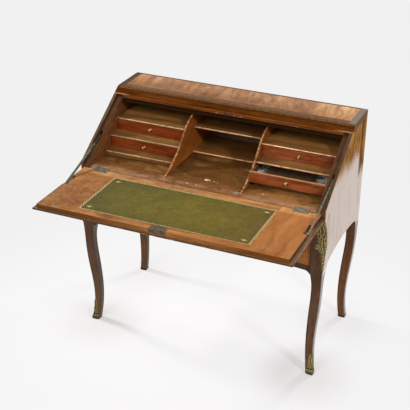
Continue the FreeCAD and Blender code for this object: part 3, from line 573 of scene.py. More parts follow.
bronze = Finish("cast_bronze")
raised = bronze.place.node("Attribute", {"attribute_name": "raised"}, None, "Fac")
grit = bronze.cloud(260, 4)
bronze.colour = (raised + (grit - 0.5) * 0.35).graded(PATINA, OLD_BRASS, RUBBED_BRASS, 0.45)
tarnish = bronze.cloud(45, 4).between(0.5, 0.7)
bronze.lay((0.09, 0.072, 0.034), tarnish * 0.35)
# The tops of the chutes, under the open fall, and the left-hand mounts are painted darker, as
# painted shade.
shaded_top_and_left = (bronze.z.between(0.6, 0.66) * 0.9).most(bronze.x.between(0.1, -0.1))
bronze.tint((0.72, 0.7, 0.68), shaded_top_and_left)
# The bottom of each sabot is painted near black, as painted shade where it meets the floor.
bronze.lay(FOOT_SHADE, 0.8, z=(0.026, 0.008))
bronze.rough = 0.5 - raised * 0.12 + grit * 0.1
bronze.height = grit
cast_bronze = bronze.close(0.0003, metal=0.6)


def softened(levels, reach):
    """The levels of a grid averaged over a square that reaches so many cells each way."""
    wide = np.pad(levels, reach, mode="edge")
    for axis in (0, 1):
        shifted = [np.roll(wide, step, axis) for step in range(-reach, reach + 1)]
        wide = sum(shifted) / len(shifted)
    return wide[reach:-reach, reach:-reach]


def cast_mount(node, leg, hand, reach, relief, rows, columns):
    """A mount cast round a leg's outer corner; relief gives its height off the wood."""
    low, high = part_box(node)
    across = np.linspace(*reach, columns)
    heights = np.linspace(low.z, high.z, rows)
    turn = math.pi / 4 * (1 + np.clip(across / CORNER_TURN, -1, 1))
    rise = np.array([relief(across * 1000, (height - low.z) * 1000) for height in heights])
    rise = np.clip(rise / 1000, -MOUNT_SUNK, MOUNT_PROUD)
    chased = np.clip(0.5 + (rise - softened(rise, CHASED_CELLS)) / CHASED_DEEP, 0.0, 1.0)
    rise[:, 0] = rise[:, -1] = MOUNT_ROOT
    rise[-1] = np.minimum(rise[-1], 0.0)
    if low.z > 0.01:
        rise[0] = np.minimum(rise[0], 0.0)
    stock = bmesh.new()
    level = stock.verts.layers.float.new("raised")
    skins = ([], [])
    for row, height in enumerate(heights):
        corner_low, corner_high = leg_section(leg, min(max(height, 0.0001), high.z))
        corner_x = corner_high[0] if hand > 0 else corner_low[0]
        face_x = corner_x - hand * np.maximum(-across, 0)
        face_y = corner_low[1] + np.maximum(across, 0)
        for skin, lift in zip(skins, (rise[row], MOUNT_ROOT)):
            points = zip(face_x + hand * np.sin(turn) * lift, face_y - np.cos(turn) * lift)
            skin.append([stock.verts.new((x, y, height)) for x, y in points])
            for vertex, shade in zip(skin[-1], chased[row]):
                vertex[level] = shade
    outer, inner = skins
    for below, above in zip(outer, outer[1:]):
        bridge(stock, below, above)
    ends = [(outer[0], inner[0]), (outer[-1], inner[-1])]
    for one, other in [*zip(inner, inner[1:]), *ends]:
        for i in range(columns - 1):
            stock.faces.new((one[i], other[i], other[i + 1], one[i + 1]))
    bmesh.ops.remove_doubles(stock, verts=stock.verts, dist=1e-6)
    bmesh.ops.recalc_face_normals(stock, faces=stock.faces)
    return stock


def ridge(off, wide):
    return np.exp(-((off / wide) ** 2))


def part_out(across, up, levels, front, side, lobed):
    """How far out of a mount's middle each point lies: 0 on the corner, 1 on the outline."""
    front, side = (np.interp(up, levels, reach) * lobed for reach in (front, side))
    return np.abs(across) / np.where(across < 0, front, side)


def scrolls(across, up, curls):
    """Raised curls, each with an eye in the middle: place across and up, radius, height."""
    rise = np.zeros_like(across)
    for at_across, at_up, radius, high in curls:
        off = np.hypot(across - at_across, up - at_up)
        rise = np.maximum(rise, high * ridge(off - radius, 1.5))
        rise = np.maximum(rise, 0.9 * high * ridge(off, 0.3 * radius))
    return rise


CHUTE_LEVELS = (0, 30, 55, 72, 84, 92, 99, 106, 116, 130, 146, 160, 175, 187, 194)
CHUTE_FRONT = (5, 8, 11, 15, 28, 38, 39, 33, 28, 31, 35, 32, 25, 18, 10)
CHUTE_SIDE = (4, 6, 8, 10, 13, 16, 18, 18, 17, 18, 20, 18, 14, 11, 7)
CHUTE_CURLS = (
    *((-31, 97, 6, 2.0), (-22, 121, 7, 1.8), (4, 119, 7, 2.0), (-8, 143, 8, 1.8)),
    *((9, 152, 7, 1.6), (-4, 90, 6, 1.8), (-3, 62, 4, 1.4)),
)


def chute_relief(across, up):
    """Height of the chute in millimetres, across the corner and up from its tip."""
    lobed = 1 + 0.07 * math.cos(2 * math.pi * up / 15.0)
    part = part_out(across, up, CHUTE_LEVELS, CHUTE_FRONT, CHUTE_SIDE, lobed)
    inside = np.clip(3 * (1 - part), 0, 1)
    rise = 1.6 * (1 - part**2)
    sway = 5.0 * math.sin(up / 15.0) + 2.0 * np.sin((up + 2.0 * across) / 9.0)
    spread = 6.0 + 0.03 * up
    rise += 0.9 * np.cos(2 * math.pi * (across + sway) / spread) * inside
    rise += 0.35 * np.cos(2 * math.pi * (up / 9.0 + across / 16.0)) * inside
    return np.maximum(rise, scrolls(across, up, CHUTE_CURLS) * inside + 0.9 * (1 - part**2))


SABOT_LEVELS = (0, 20, 25, 38, 60, 76, 86, 90)
SABOT_FRONT = (24.5, 24.5, 20, 18.5, 17.5, 16.5, 13, 9)
SABOT_SIDE = (24.5, 24.5, 22.5, 22, 20.5, 19, 15, 10)
SABOT_CURLS = ((-8, 34, 6, 1.7), (8, 34, 6, 1.7), (-3, 78, 5, 1.5))


def sabot_relief(across, up):
    """Height of the sabot in millimetres, across the corner and up from the floor."""
    lobed = 1 + 0.05 * math.cos(up / 2.4) * (up > 25)
    part = part_out(across, up, SABOT_LEVELS, SABOT_FRONT, SABOT_SIDE, lobed)
    if up < 22:
        ball = max(1 - ((up - 10.5) / 12.5) ** 2, 0.0)
        rise = 4.7 * math.sqrt(ball) * np.sqrt(np.clip(1.05 - part**2, 0, 1)) - 1.2 * (part > 1)
        for crease in (5.5, 14):
            rise -= 0.7 * ridge(np.abs(across) - crease, 1.5)
        return rise
    inside = np.clip(3 * (1 - part), 0, 1)
    rise = 1 - part**4
    rise += 0.7 * np.cos(2 * math.pi * (across + 2.5 * math.sin(up / 8.0)) / 9.0) * inside
    rise = np.maximum(rise, scrolls(across, up, SABOT_CURLS) * inside)
    return np.minimum(rise, 2.8 if up < 62 else 2.3)


for side, hand in HANDS:
    for mount, reach, relief, rows in (
        ("chute", (-0.043, 0.0235), chute_relief, 150),
        ("sabot", (-0.0265, 0.0265), sabot_relief, 70),
    ):
        node = f"{mount}_{side}"
        stock = cast_mount(node, f"leg_front_{side}", hand, reach, relief, rows, MOUNT_COLUMNS)
        stand_for(node, stock, [cast_bronze])


# Desk floor
# The board inside the case that the fall lines up with. It is worn pale in patches, with painted
# light making it paler to the right, with drips of paint near the middle and grey rubbing beside
# the left hinge and at a divider's foot.
FLOOR_BROWN = (0.13, 0.0495, 0.009)
FLOOR_TOP = 0.7148
JOINT_GRIME = (0.03, 0.015, 0.007)
PAINT = (0.68, 0.56, 0.41)
PAINT_DRIPS = (
    *((-0.003, 0.019, 0.0095), (0.008, 0.021, 0.006), (0.03, 0.016, 0.003), (0.047, 0.012, 0.003)),
    *((-0.059, -0.035, 0.004), (-0.022, -0.038, 0.0035), (0.236, -0.006, 0.0035)),
    (-0.1, 0.03, 0.0025),
)
RUBBED_GREY = ((-0.46, -0.052, 0.03), (-0.41, -0.06, 0.03), (0.142, -0.036, 0.014))

floor = timber("desk_floor_wood", "X", FLOOR_BROWN, streak=30, wander=0.09, shift=2.1)
# Pale worn patches, spread wider towards the right as painted light.
worn_and_lit_pale = floor.cloud((9, 16, 9), 5, 0.6)
worn_and_lit_pale = (worn_and_lit_pale + floor.x.between(0.1, 0.34) * 0.2 - 0.04).between(0.46, 0.7)
floor.lay((0.36, 0.165, 0.05), worn_and_lit_pale * 0.75)
scratch = floor.cloud((26, 420, 20), 2).between(0.64, 0.7)
floor.lay((0.36, 0.25, 0.15), scratch * 0.35)
trodden = floor.cloud((60, 170, 60), 4, 0.65).between(0.5, 0.66)
floor.tint((0.55, 0.5, 0.46), trodden * 0.7)
reddened = floor.cloud((26, 60, 26), 4).between(0.44, 0.62)
floor.lay((0.34, 0.115, 0.05), reddened * 0.45, y=(0.01, -0.03))
fleck = floor.cloud((150, 330, 150), 3).between(0.6, 0.68)
floor.lay((0.46, 0.31, 0.17), fleck * 0.45)
ragged = (floor.cloud(150, 2) - 0.5) * 0.01


def spots(places, edge, core):
    """1 inside the ragged spots on the floor, each given by x, y and radius, and 0 outside."""
    found = edge * 0.0
    for spot_x, spot_y, radius in places:
        away = floor.place.far_from(spot_x, spot_y, FLOOR_TOP) + edge
        found = found.most(away.between(radius, radius * core))
    return found


drip = spots(PAINT_DRIPS, ragged, 0.6)
grey = spots(RUBBED_GREY, ragged * 3.0, 0.4)
floor.lay((0.27, 0.24, 0.17), grey * 0.7)
floor.lay(PAINT, drip * 0.85)
front_scuff = floor.cloud((22, 80, 22), 5, 0.65)
front_scuff = (front_scuff + abs(floor.x).between(0.05, 0.2) * 0.08).between(0.46, 0.64)
floor.lay((0.3, 0.19, 0.12), front_scuff * 0.5, y=(-0.02, -0.045))
floor.lay(JOINT_GRIME, 0.7, y=(-0.062, -0.068))
floor.height += drip * 0.8 - scratch * 0.6
stand_board("desk_floor", "inner_wood", [floor.close(0.0005)], width=0.001)


# Linings and dividers
# Thin upright boards of orange-brown wood: one lining against each side, and two dividers with
# a scalloped front edge that hands have worn pale.
LINING_BROWN = (0.17, 0.06, 0.016)
ORANGE_BROWN = (0.3, 0.09, 0.015)
CHIPPED_EDGE = (0.27, 0.11, 0.036)

LINING_FINISHES = [
    timber("lining_wood", "Y", LINING_BROWN, streak=48, shift=1.1).close(),
    timber("lining_edge", "Y", REBATE_RED, streak=90, shift=2.6).close(),
]
upright = timber("upright_wood", "Y", ORANGE_BROWN, streak=48, shift=3.2)
chipped = timber("chipped_edge", "Z", CHIPPED_EDGE, streak=120)
chip = chipped.cloud(70, 4)
chipped.lay((0.55, 0.3, 0.13), chip.between(0.46, 0.6) * 0.6)
chipped.lay((0.1, 0.04, 0.015), chip.between(0.44, 0.38) * 0.7)
DIVIDER_FINISHES = [upright.close(), chipped.close(0.0006)]


def upright_face(face):
    return 1 if face.normal.y < -0.25 else 0


for node in ("lining_left", "lining_right"):
    stand_board(node, "inner_wood", LINING_FINISHES, upright_face, width=0.0008)
for node in ("divider_left", "divider_right"):
    stand_board(node, "inner_wood", DIVIDER_FINISHES, upright_face, width=0.0016, shortest=0.001)


# Shelves and base boards
# Boards housed between the linings and dividers. Their tops are dark and dusty, with painted
# shade towards the back and along the front, and their front edges are rubbed to a pale line.
SHELF_OLIVE = (0.37, 0.152, 0.04)
RUBBED_EDGE = (0.95, 0.54, 0.29)
DEEP_SHADE = (0.4, 0.38, 0.36)
SHELF_FRONT_Y, SHELF_FRONT_Z = 0.0652, 0.7348
SHELF_LEAN = 0.97
LOWER_SHELF_Z = 0.783

shelf = timber("shelf_wood", "X", SHELF_OLIVE, streak=45, shift=4.4)
shelf_dust = shelf.cloud(14, 4).between(0.48, 0.7)
shelf.lay((0.2, 0.11, 0.045), shelf_dust * 0.35)
shelf.tint(DEEP_SHADE, y=(0.16, 0.34))
behind_front = shelf.y - SHELF_FRONT_Y - (shelf.z - SHELF_FRONT_Z) * SHELF_LEAN
# The front of each shelf top is painted darker, as painted shade.
painted_front_shade = behind_front.between(0.09, 0.02)
shelf.tint((0.34, 0.36, 0.38), painted_front_shade)
outer_bays = abs(shelf.x).between(0.12, 0.16)
shelf.tint((1.42, 1.5, 1.5), outer_bays)
rubbed = timber("rubbed_edge", "X", RUBBED_EDGE, streak=150)
dent = rubbed.cloud((45, 90, 90), 3).between(0.5, 0.64)
rubbed.lay((0.25, 0.11, 0.04), dent * 0.6)
in_centre = abs(rubbed.x).between(0.16, 0.14)
on_lower = abs(rubbed.z - LOWER_SHELF_Z).between(0.02, 0.012)
rubbed.tint((0.66, 0.64, 0.63), x=(-0.13, -0.17))
rubbed.tint((0.72, 0.72, 0.75), on_lower)
rubbed.tint((0.76, 0.8, 0.82), in_centre, z=(0.79, 0.8))
SHELF_FINISHES = [shelf.close(), rubbed.close()]


def shelf_face(face):
    return 1 if face.normal.y < -0.15 and face.normal.z > 0.15 else 0


for node in (
    *("base_left", "base_right", "shelf_lower_left", "shelf_lower_right"),
    *("shelf_upper_left", "shelf_upper_right", "centre_base", "centre_shelf"),
):
    stand_board(node, "inner_wood", SHELF_FINISHES, shelf_face, width=0.0032, shortest=0.05)


# Small drawers
# Four drawers with red mahogany fronts, thin plain boxes and one turned brass knob each. The
# right lower one stands open, and its bottom has pale stains at both ends.
MAHOGANY = (0.165, 0.027, 0.0035)
BOX_WOOD = (0.115, 0.064, 0.032)
WORN_RED = (0.42, 0.2, 0.09)
RIGHT_PAINTED_LIGHT, LOWER_DARKER = (1.45, 1.96, 3.6), (0.94, 0.96, 0.88)
RIGHT_END_SHADOW = (0.62, 0.6, 0.6)
BRASS_SHADES = ((0.14, 0.09, 0.03), (0.3, 0.21, 0.075), (0.48, 0.35, 0.14))
STAIN_MID_X, STAIN_CLEAR_X = 0.305, 0.295
BOX_BOTTOM = 0.747

drawer = timber("drawer_mahogany", "X", MAHOGANY, streak=60, shift=5.1, figure=1.5)
flame = drawer.cloud((9, 20, 48), 4, 0.6).between(0.4, 0.65)
drawer.lay((0.3, 0.07, 0.018), flame * 0.4)
# The right-hand drawers are painted lighter, as painted light.
drawer.tint(RIGHT_PAINTED_LIGHT, x=(-0.05, 0.05))
# The right ends of the right-hand fronts are painted darker, as the painted shadow of the case
# side.
drawer.tint(RIGHT_END_SHADOW, x=(0.4, 0.46))
drawer.tint(LOWER_DARKER, x=(-0.05, 0.05), z=(0.785, 0.775))
FRONT_FINISHES = [
    drawer.close(coat=0.2, coat_rough=0.2),
    timber("worn_mahogany", "X", WORN_RED, streak=110).close(),
]
box = timber("drawer_box_wood", "Y", BOX_WOOD, streak=50, shift=6.3)
stain = box.cloud(52, 4)
stain = (stain + abs(box.x - STAIN_MID_X).between(0.07, 0.12) * 0.14).between(0.46, 0.6)
stain *= abs(box.x - STAIN_CLEAR_X).between(0.09, 0.12)
on_bottom = (BOX_BOTTOM, BOX_BOTTOM - 0.0015)
box.lay((0.8, 0.8, 0.72), stain * 0.9, x=(0.05, 0.1), z=on_bottom)
box.rough += 0.15
drawer_box_wood = box.close()

brass = Finish("turned_brass")
filed = brass.cloud(500, 3)
dulled = brass.cloud(240, 3).between(0.4, 0.65)
brass.colour = filed.graded(*BRASS_SHADES)
brass.lay((0.16, 0.11, 0.04), dulled * 0.5)
brass.rough = 0.26 + dulled * 0.25
brass.height = filed
turned_brass = brass.close(0.0001, metal=0.95)
KNOB_PROFILE = (
    *((0.0063, 0.0), (0.0065, 0.0007), (0.006, 0.0014), (0.0036, 0.0018), (0.0027, 0.0027)),
    *((0.0025, 0.004), (0.0029, 0.0049), (0.0043, 0.0058), (0.0054, 0.0075), (0.0055, 0.009)),
    *((0.0049, 0.011), (0.0035, 0.0125), (0.0017, 0.0133)),
)
KNOB_SIDES = 28


def turn_knob(node, front):
    """A knob turned on its axis, standing on the face of a drawer front."""
    low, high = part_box(node)
    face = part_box(front)[0].y
    longest = (face - low.y) / KNOB_PROFILE[-1][1]
    x, z = (low.x + high.x) / 2, (low.z + high.z) / 2
    turns = [2 * math.pi * step / KNOB_SIDES for step in range(KNOB_SIDES)]
    rings = []
    for radius, out in KNOB_PROFILE:
        ring = [(radius * math.cos(turn), radius * math.sin(turn)) for turn in turns]
        rings.append([(x + right, face - out * longest, z + up) for right, up in ring])
    return skin_rings(rings)


def refinish(material, *nodes):
    """Gives carried-over hardware a finish of its own."""
    for node in nodes:
        materials = frame["nodes"][node].data.materials
        materials.clear()
        materials.append(material)


def drawer_face(face):
    return 1 if face.normal.z > 0.5 else 0


for place in ("left_upper", "left_lower", "right_upper", "right_lower"):
    front = f"drawer_{place}_front"
    knob = f"drawer_{place}_knob"
    stand_board(front, "drawer_wood", FRONT_FINISHES, drawer_face, width=0.0011, shortest=0.005)
    stand_for(knob, turn_knob(knob, front), [turned_brass])
    refinish(drawer_box_wood, f"drawer_{place}_box")


# Top rail
# The rail under the top that the closed fall shuts against. Its face is dark and knocked about,
# with pale chips where the bolt and the fall have struck it. Its upper part is painted lighter as
# painted light, and below a worn line it is painted near black as painted shade.
RAIL_RED = (0.22, 0.066, 0.0135)
RAIL_PAINTED_SHADE = (0.02, 0.0085, 0.003)
PAINTED_LIGHT_ABOVE = (1.7, 1.65, 1.6)
RAIL_CHIPS = ((-0.045, 0.02), (0.03, 0.03), (0.269, 0.02))
WORN_LOW, WORN_HIGH = 0.9045, 0.908

rail = timber("rail_wood", "X", RAIL_RED, streak=70, shift=7.4, figure=2)
# Painted light on the upper part of the face, and painted shade below the worn line.
rail.tint(PAINTED_LIGHT_ABOVE, z=(0.909, 0.918))
rail.lay(RAIL_PAINTED_SHADE, z=(WORN_LOW, WORN_LOW - 0.001))
worn = abs(rail.z - (WORN_LOW + WORN_HIGH) / 2).between(0.0022, 0.001)
rail.lay((0.24, 0.1, 0.04), worn * 0.7)
chips = worn * 0.0
for chip_x, half in RAIL_CHIPS:
    chips = chips.most(abs(rail.x - chip_x).between(half, half * 0.8))
flaked = rail.cloud((60, 300, 300), 3).between(0.47, 0.55) * chips * worn
rail.lay((0.6, 0.46, 0.33), flaked)
rail.height -= flaked
stand_board("top_rail", "inner_wood", [rail.close(specular=0.0)], width=0.0012)


# Top board
# The narrow top: a honey-coloured veneered field in a dark crossbanded frame, with its front
# bevelled to the slope of the fall. The lower edge of the bevel is worn pale at both ends. The
# field carries a painted sheen towards the back and at its right end, and the frame a painted
# highlight at its right end.
HONEY = (0.322, 0.144, 0.0545)
FRAME_BROWN = (0.12, 0.055, 0.022)
BEVEL_BROWN = (0.082, 0.0228, 0.0032)
RIGHT_END_SHEEN = (1.7, 1.96, 2.12)
FIELD_HALF = 0.474
FIELD_FRONT = 0.281
FIELD_BACK = 0.412
BEVEL_FOOT_Y = 0.2176
CAP_UP = 0.0317
STRING_UP = 0.0292
WORN_FROM_X = 0.45

field = timber("top_honey", "Y", HONEY, streak=26, wander=0.14, shift=8.2, figure=1.4)
cloudy = field.cloud((15, 7, 7), 3, 0.55)
field.lay((0.5, 0.27, 0.13), cloudy.between(0.5, 0.7) * 0.5)
field.lay((0.2, 0.09, 0.035), cloudy.between(0.45, 0.3) * 0.5)
# Towards the back the field is painted paler and greyer as a painted sheen, and towards the front
# darker.
painted_sheen = field.y.between(0.29, 0.4)
field.tint((0.68, 0.61, 0.5), 1.0 - painted_sheen)
field.tint((1.12, 1.2, 1.38), painted_sheen)
# The right end of the field is painted paler, as a painted sheen.
field.tint(RIGHT_END_SHEEN, x=(0.27, 0.4))
framed = (abs(field.x) - FIELD_HALF).most(FIELD_FRONT - field.y)
framed = framed.most(field.y - FIELD_BACK).between(-0.0006, 0.0006)
field.lay(field.board.cloud(90, 5).graded(*shades(FRAME_BROWN)), framed)
field.tint((0.5, 0.5, 0.5), framed, x=(-0.47, -0.478))
# A painted highlight on the right end of the frame.
field.lay((0.2, 0.17, 0.148), framed * 0.7, x=(0.47, 0.478))
bevel = timber("bevel_veneer", "X", BEVEL_BROWN, streak=50, shift=9.5, figure=1.9)
up_bevel = (bevel.y - BEVEL_FOOT_Y) / SLOPE_OUT.z
cap_tone = bevel.board.cloud(90, 5).graded(*shades(FRAME_BROWN))
bevel.lay(cap_tone, up_bevel.between(CAP_UP, CAP_UP + 0.001))
string = abs(up_bevel - STRING_UP).between(0.0034, 0.002)
bevel.lay((0.05, 0.017, 0.003), string * 0.8)
worn_ends = (abs(bevel.x) - WORN_FROM_X).between(-0.03, 0.02) * up_bevel.between(0.007, 0.005)
bevel.lay((0.4, 0.22, 0.1), worn_ends * 0.7)
TOP_FINISHES = [
    field.close(coat=(1.0 - framed) * 0.12, coat_rough=0.3),
    bevel.close(specular=0.0),
    timber("top_edge_wood", "X", FRAME_BROWN, streak=80, shift=1.9).close(),
]


def top_face(face):
    if face.normal.z > 0.93:
        return 0
    return 1 if face.normal.z > 0.6 and face.normal.y < -0.3 else 2


stand_board("top_board", "veneer", TOP_FINISHES, top_face, width=0.002)


# Hinges, screws and strike
# Forged steel butt hinges let in flush across the joint of floor and fall, each leaf with its
# own screws, and the strike plate that takes the lock's bolt.
IRON = (0.175, 0.152, 0.11)
LEFT_DARKER = (0.75, 0.8, 0.82)
BROWNED = (0.3, 0.175, 0.1)

iron = Finish("old_iron")
iron_grain = (iron.cloud(130, 5, 0.65) - 0.5) * 2.4 + 0.5
rust = iron.cloud(95, 4).between(0.55, 0.7)
iron.colour = iron_grain.graded(*shades(IRON)).laid((0.1, 0.055, 0.03), rust * 0.5)
iron.tint(LEFT_DARKER, x=(0.1, -0.1))
iron.lay(BROWNED, 0.65, x=(0.45, 0.46), z=(0.75, 0.725))
iron.rough = 0.42 + rust * 0.3 + iron_grain * 0.1
iron.height = iron_grain - rust * 0.5
old_iron = iron.close(0.0002, metal=0.55)
refinish(
    old_iron,
    *("hinge_pin_left", "hinge_pin_right", "hinge_case_screws", "fall_screws", "strike_plate"),
)
for leaf in ("case_leaf_left", "case_leaf_right", "fall_leaf_left", "fall_leaf_right"):
    stand_board(f"hinge_{leaf}", "steel", [old_iron], width=0.0004, shortest=0.004)


# Fall board
# The writing flap: a thick board with a raised inner panel and a thin lip all round. Inside it
# is warm orange wood, with the grain across at the two ends; outside it is veneered.
FALL_ORANGE = (0.25, 0.096, 0.0255)
EDGE_ORANGE = (0.31, 0.126, 0.033)
FALL_OUTER = (0.23, 0.09, 0.024)
LIP_BROWN = (0.09, 0.037, 0.014)
NOTCH_BROWN = (0.2, 0.11, 0.055)
REDDER = (1.22, 1.16, 1.15)
WORN_FRONT, HANDLED_FRONT = (1.2, 1.32, 1.3), (0.72, 0.64, 0.62)
BACK_STRIP_LIGHT, DARKER_CORNER = (1.45, 1.7, 2.1), (0.76, 0.76, 0.66)
END_PANEL = 0.336
PANEL_HALF = 0.485
SEAM_X = 0.386
LIP_X = 0.4968
LEDGE_UNDER = 0.704
LIP_TOP = 0.6955
KNOCKED_X = 0.05
NOTCH_FRONT, NOTCH_BACK = -0.236, -0.158
STAY_SHADOW_X, STAY_SHADOW_Y = -0.4788, -0.1839
STAY_SHADOW_RUN, STAY_SHADOW_RISE = 0.9328, 0.3605
OUTER_HALF, OUTER_FRONT, OUTER_BACK = 0.455, -0.38, -0.115
ARRIS_HALF, ARRIS_FRONT = 0.46, -0.405

fall = timber(
    "fall_inner_wood", "X", FALL_ORANGE, streak=24, wander=0.12, shift=10.6, figure=1.5
)
end_fibre = fall.board.cloud((26, 2.6, 26), 6, 0.62)
at_end = (abs(fall.x) - END_PANEL).between(-0.0005, 0.0005)
fall.lay(end_fibre.graded(*shades(FALL_ORANGE)), at_end)
fall.tint(REDDER, x=(-0.1, 0.3))
patchy = fall.cloud((18, 26, 18), 5, 0.6).between(0.6, 0.3)
fall.tint((0.6, 0.5, 0.4), patchy, x=(0.35, -0.3))
fall.tint(WORN_FRONT, y=(-0.386, -0.396))
fall.tint(HANDLED_FRONT, x=(0.0, 0.4), y=(-0.386, -0.396))
# The strip between the leather and the hinge line is painted lighter, as painted light.
fall.tint(BACK_STRIP_LIGHT, y=(-0.118, -0.1))
fall.tint(DARKER_CORNER, x=(-0.34, -0.4), y=(-0.27, -0.36))
faded = fall.cloud(9, 4).between(0.45, 0.7)
fall.lay((0.42, 0.2, 0.07), faded * 0.35)
seam = abs(abs(fall.x) - SEAM_X).between(0.0012, 0.0003)
fall.lay((0.12, 0.05, 0.018), seam * 0.5)
joint_scuff = fall.cloud((30, 60, 30), 5, 0.65).between(0.5, 0.65)
fall.lay((0.42, 0.27, 0.17), joint_scuff * 0.6, x=(0.1, -0.1), y=(-0.112, -0.085))
ledge = fall.z.between(LEDGE_UNDER + 0.0005, LEDGE_UNDER - 0.0005)
fall.tint((0.5, 0.31, 0.16), ledge)
lip_patch = fall.cloud((50, 18, 50), 4).between(0.36, 0.55)
lip_worn = ledge * (fall.x - LIP_X).between(-0.001, 0.001) * lip_patch
fall.lay((0.5, 0.36, 0.28), lip_worn * 0.8)
mottled = fall.cloud(48, 4, 0.6).between(0.54, 0.68)
fall.lay((0.33, 0.17, 0.105), mottled * 0.5, x=(0.0, -0.3))
# A painted shadow of the left stay: a soft dark line on the panel from the bracket towards the
# hinge.
off_stay_shadow = (fall.x - STAY_SHADOW_X) * STAY_SHADOW_RUN - (fall.y - STAY_SHADOW_Y) * STAY_SHADOW_RISE
stay_shadow_ends = fall.y.between(-0.19, -0.17) * fall.y.between(-0.075, -0.1)
stay_shadow = abs(off_stay_shadow).between(0.01, 0.002) * stay_shadow_ends
fall.lay((0.12, 0.042, 0.008), stay_shadow * 0.6, x=(-0.35, -0.4))
inner_scuff = fall.cloud((30, 300, 20), 2).between(0.63, 0.7)
fall.lay((0.5, 0.3, 0.14), inner_scuff * 0.3)
edge_wood = timber("panel_edge_wood", "X", EDGE_ORANGE, streak=60, shift=2.7)
edge_wood.tint((0.5, 0.45, 0.4), x=(0.0, -0.35))
edge_wood.tint((0.5, 0.38, 0.2), x=(0.12, 0.36))
lip = timber("fall_lip_wood", "X", LIP_BROWN, streak=80, shift=11.3)
knocked = lip.cloud((24, 160, 160), 4).between(0.5, 0.62)
knocked *= abs(lip.x - KNOCKED_X).between(0.3, 0.1)
lip.lay((0.42, 0.34, 0.27), knocked * 0.7, z=(LIP_TOP, LIP_TOP - 0.0015))
outer = timber("fall_outer_veneer", "X", FALL_OUTER, streak=40, shift=12.9)
outer_band = (abs(outer.x) - OUTER_HALF).most(OUTER_FRONT - outer.y)
outer_band = outer_band.most(outer.y - OUTER_BACK).between(-0.0005, 0.0005)
outer.lay(BANDING, outer_band * 0.8)
FALL_FINISHES = [
    fall.close(),
    edge_wood.close(),
    lip.close(),
    outer.close(coat=0.6, coat_rough=0.15, coat_ior=1.6),
    timber("notch_wood", "Y", NOTCH_BROWN, streak=90).close(),
]


def fall_face(face):
    at = face.calc_center_median()
    if face.normal.z > 0.5:
        return 4 if at.z < LEDGE_UNDER and abs(at.x) < PANEL_HALF else 0
    if face.normal.z < -0.97:
        return 3
    if abs(at.x) < PANEL_HALF - 0.002 and NOTCH_FRONT < at.y < NOTCH_BACK and at.z > LEDGE_UNDER:
        return 4
    return 1 if at.z > LEDGE_UNDER - 0.004 and abs(face.normal.x) < 0.5 else 2


def outer_arris(middle):
    return abs(middle.x) > ARRIS_HALF or middle.y < ARRIS_FRONT or middle.z < LEDGE_UNDER


FALL_EASING = {"width": 0.0016, "shortest": 0.03, "chosen": outer_arris}
stand_board("fall_board", "veneer", FALL_FINISHES, fall_face, **FALL_EASING)


# Leather writing panel
# One skin of olive green leather let into the fall. Its tan border is tooled in gold: a rope all
# round, a fine line inside it where the olive dye begins, and a small flower in each corner.
OLIVE_SHADES = ((0.094, 0.076, 0.0145), (0.12, 0.092, 0.0145), (0.145, 0.108, 0.017))
TAN = (0.29, 0.125, 0.037)
GOLD = (0.6, 0.47, 0.22)
COOLER, WARMER = (0.8, 0.85, 1.14), (1.0, 0.87, 1.0)
DYED_HALF_X = 0.3252
DYED_HALF_Y = 0.1349
DYED_MID_Y = -0.2467
FLOWER_END = 0.0252
FLOWER_LONG = 0.0235
ROPE_OUT = 0.0048
ROPE_TWIST = 785.0
SKIN_COLUMNS, SKIN_ROWS = 84, 36
SKIN_EASED = 0.0003
SKIN_DIP = 0.00008

leather = Finish("olive_leather")
leather.colour = leather.cloud(14, 5, 0.6).graded(*OLIVE_SHADES)
speckle = leather.cloud(55, 3, 0.55)
leather.tint((0.82, 0.84, 0.86), speckle.between(0.5, 0.72))
leather.tint((1.18, 1.16, 1.12), speckle.between(0.48, 0.32))
leather.tint(COOLER, x=(0.1, -0.3))
leather.tint(WARMER, x=(0.1, 0.28))
from_end = DYED_HALF_X - abs(leather.x)
from_long = DYED_HALF_Y - abs(leather.y - DYED_MID_Y)
from_line = from_end.least(from_long)
leather.tint((0.82, 0.86, 1.08), from_line.between(0.07, 0.0))
leather.lay(TAN, from_line.between(0.0003, -0.0003))
rope_band = abs(from_line + ROPE_OUT).between(0.0032, 0.0024)
leather.lay((0.1, 0.042, 0.014), rope_band * 0.85)
rope = ((leather.x + leather.y * 0.7) * ROPE_TWIST).wave().between(0.4, 0.6) * rope_band
line = abs(from_line).between(0.0011, 0.0006)
petal_x = abs(from_end - FLOWER_END) * 0.5
petal_y = abs(from_long - FLOWER_LONG)
petal_out = (petal_x * petal_x + petal_y * petal_y) ** 0.5
petal = abs((petal_y.maths("ARCTAN2", petal_x) * 2.0).maths("COSINE"))
flower = (petal_out - petal * 0.004).between(0.0026, 0.0012)
kept_gold = leather.cloud(120, 4).between(0.36, 0.56)
gilt = line.most(rope).most(flower * 0.8) * (kept_gold * 0.6 + 0.4)
leather.lay(GOLD, gilt)
pebble = leather.cloud(900, 2)
leather.rough = 0.62 - gilt * 0.22 + pebble * 0.1
leather.height = pebble * 0.4 + leather.cloud(30, 3) * 0.5 - gilt * 0.5

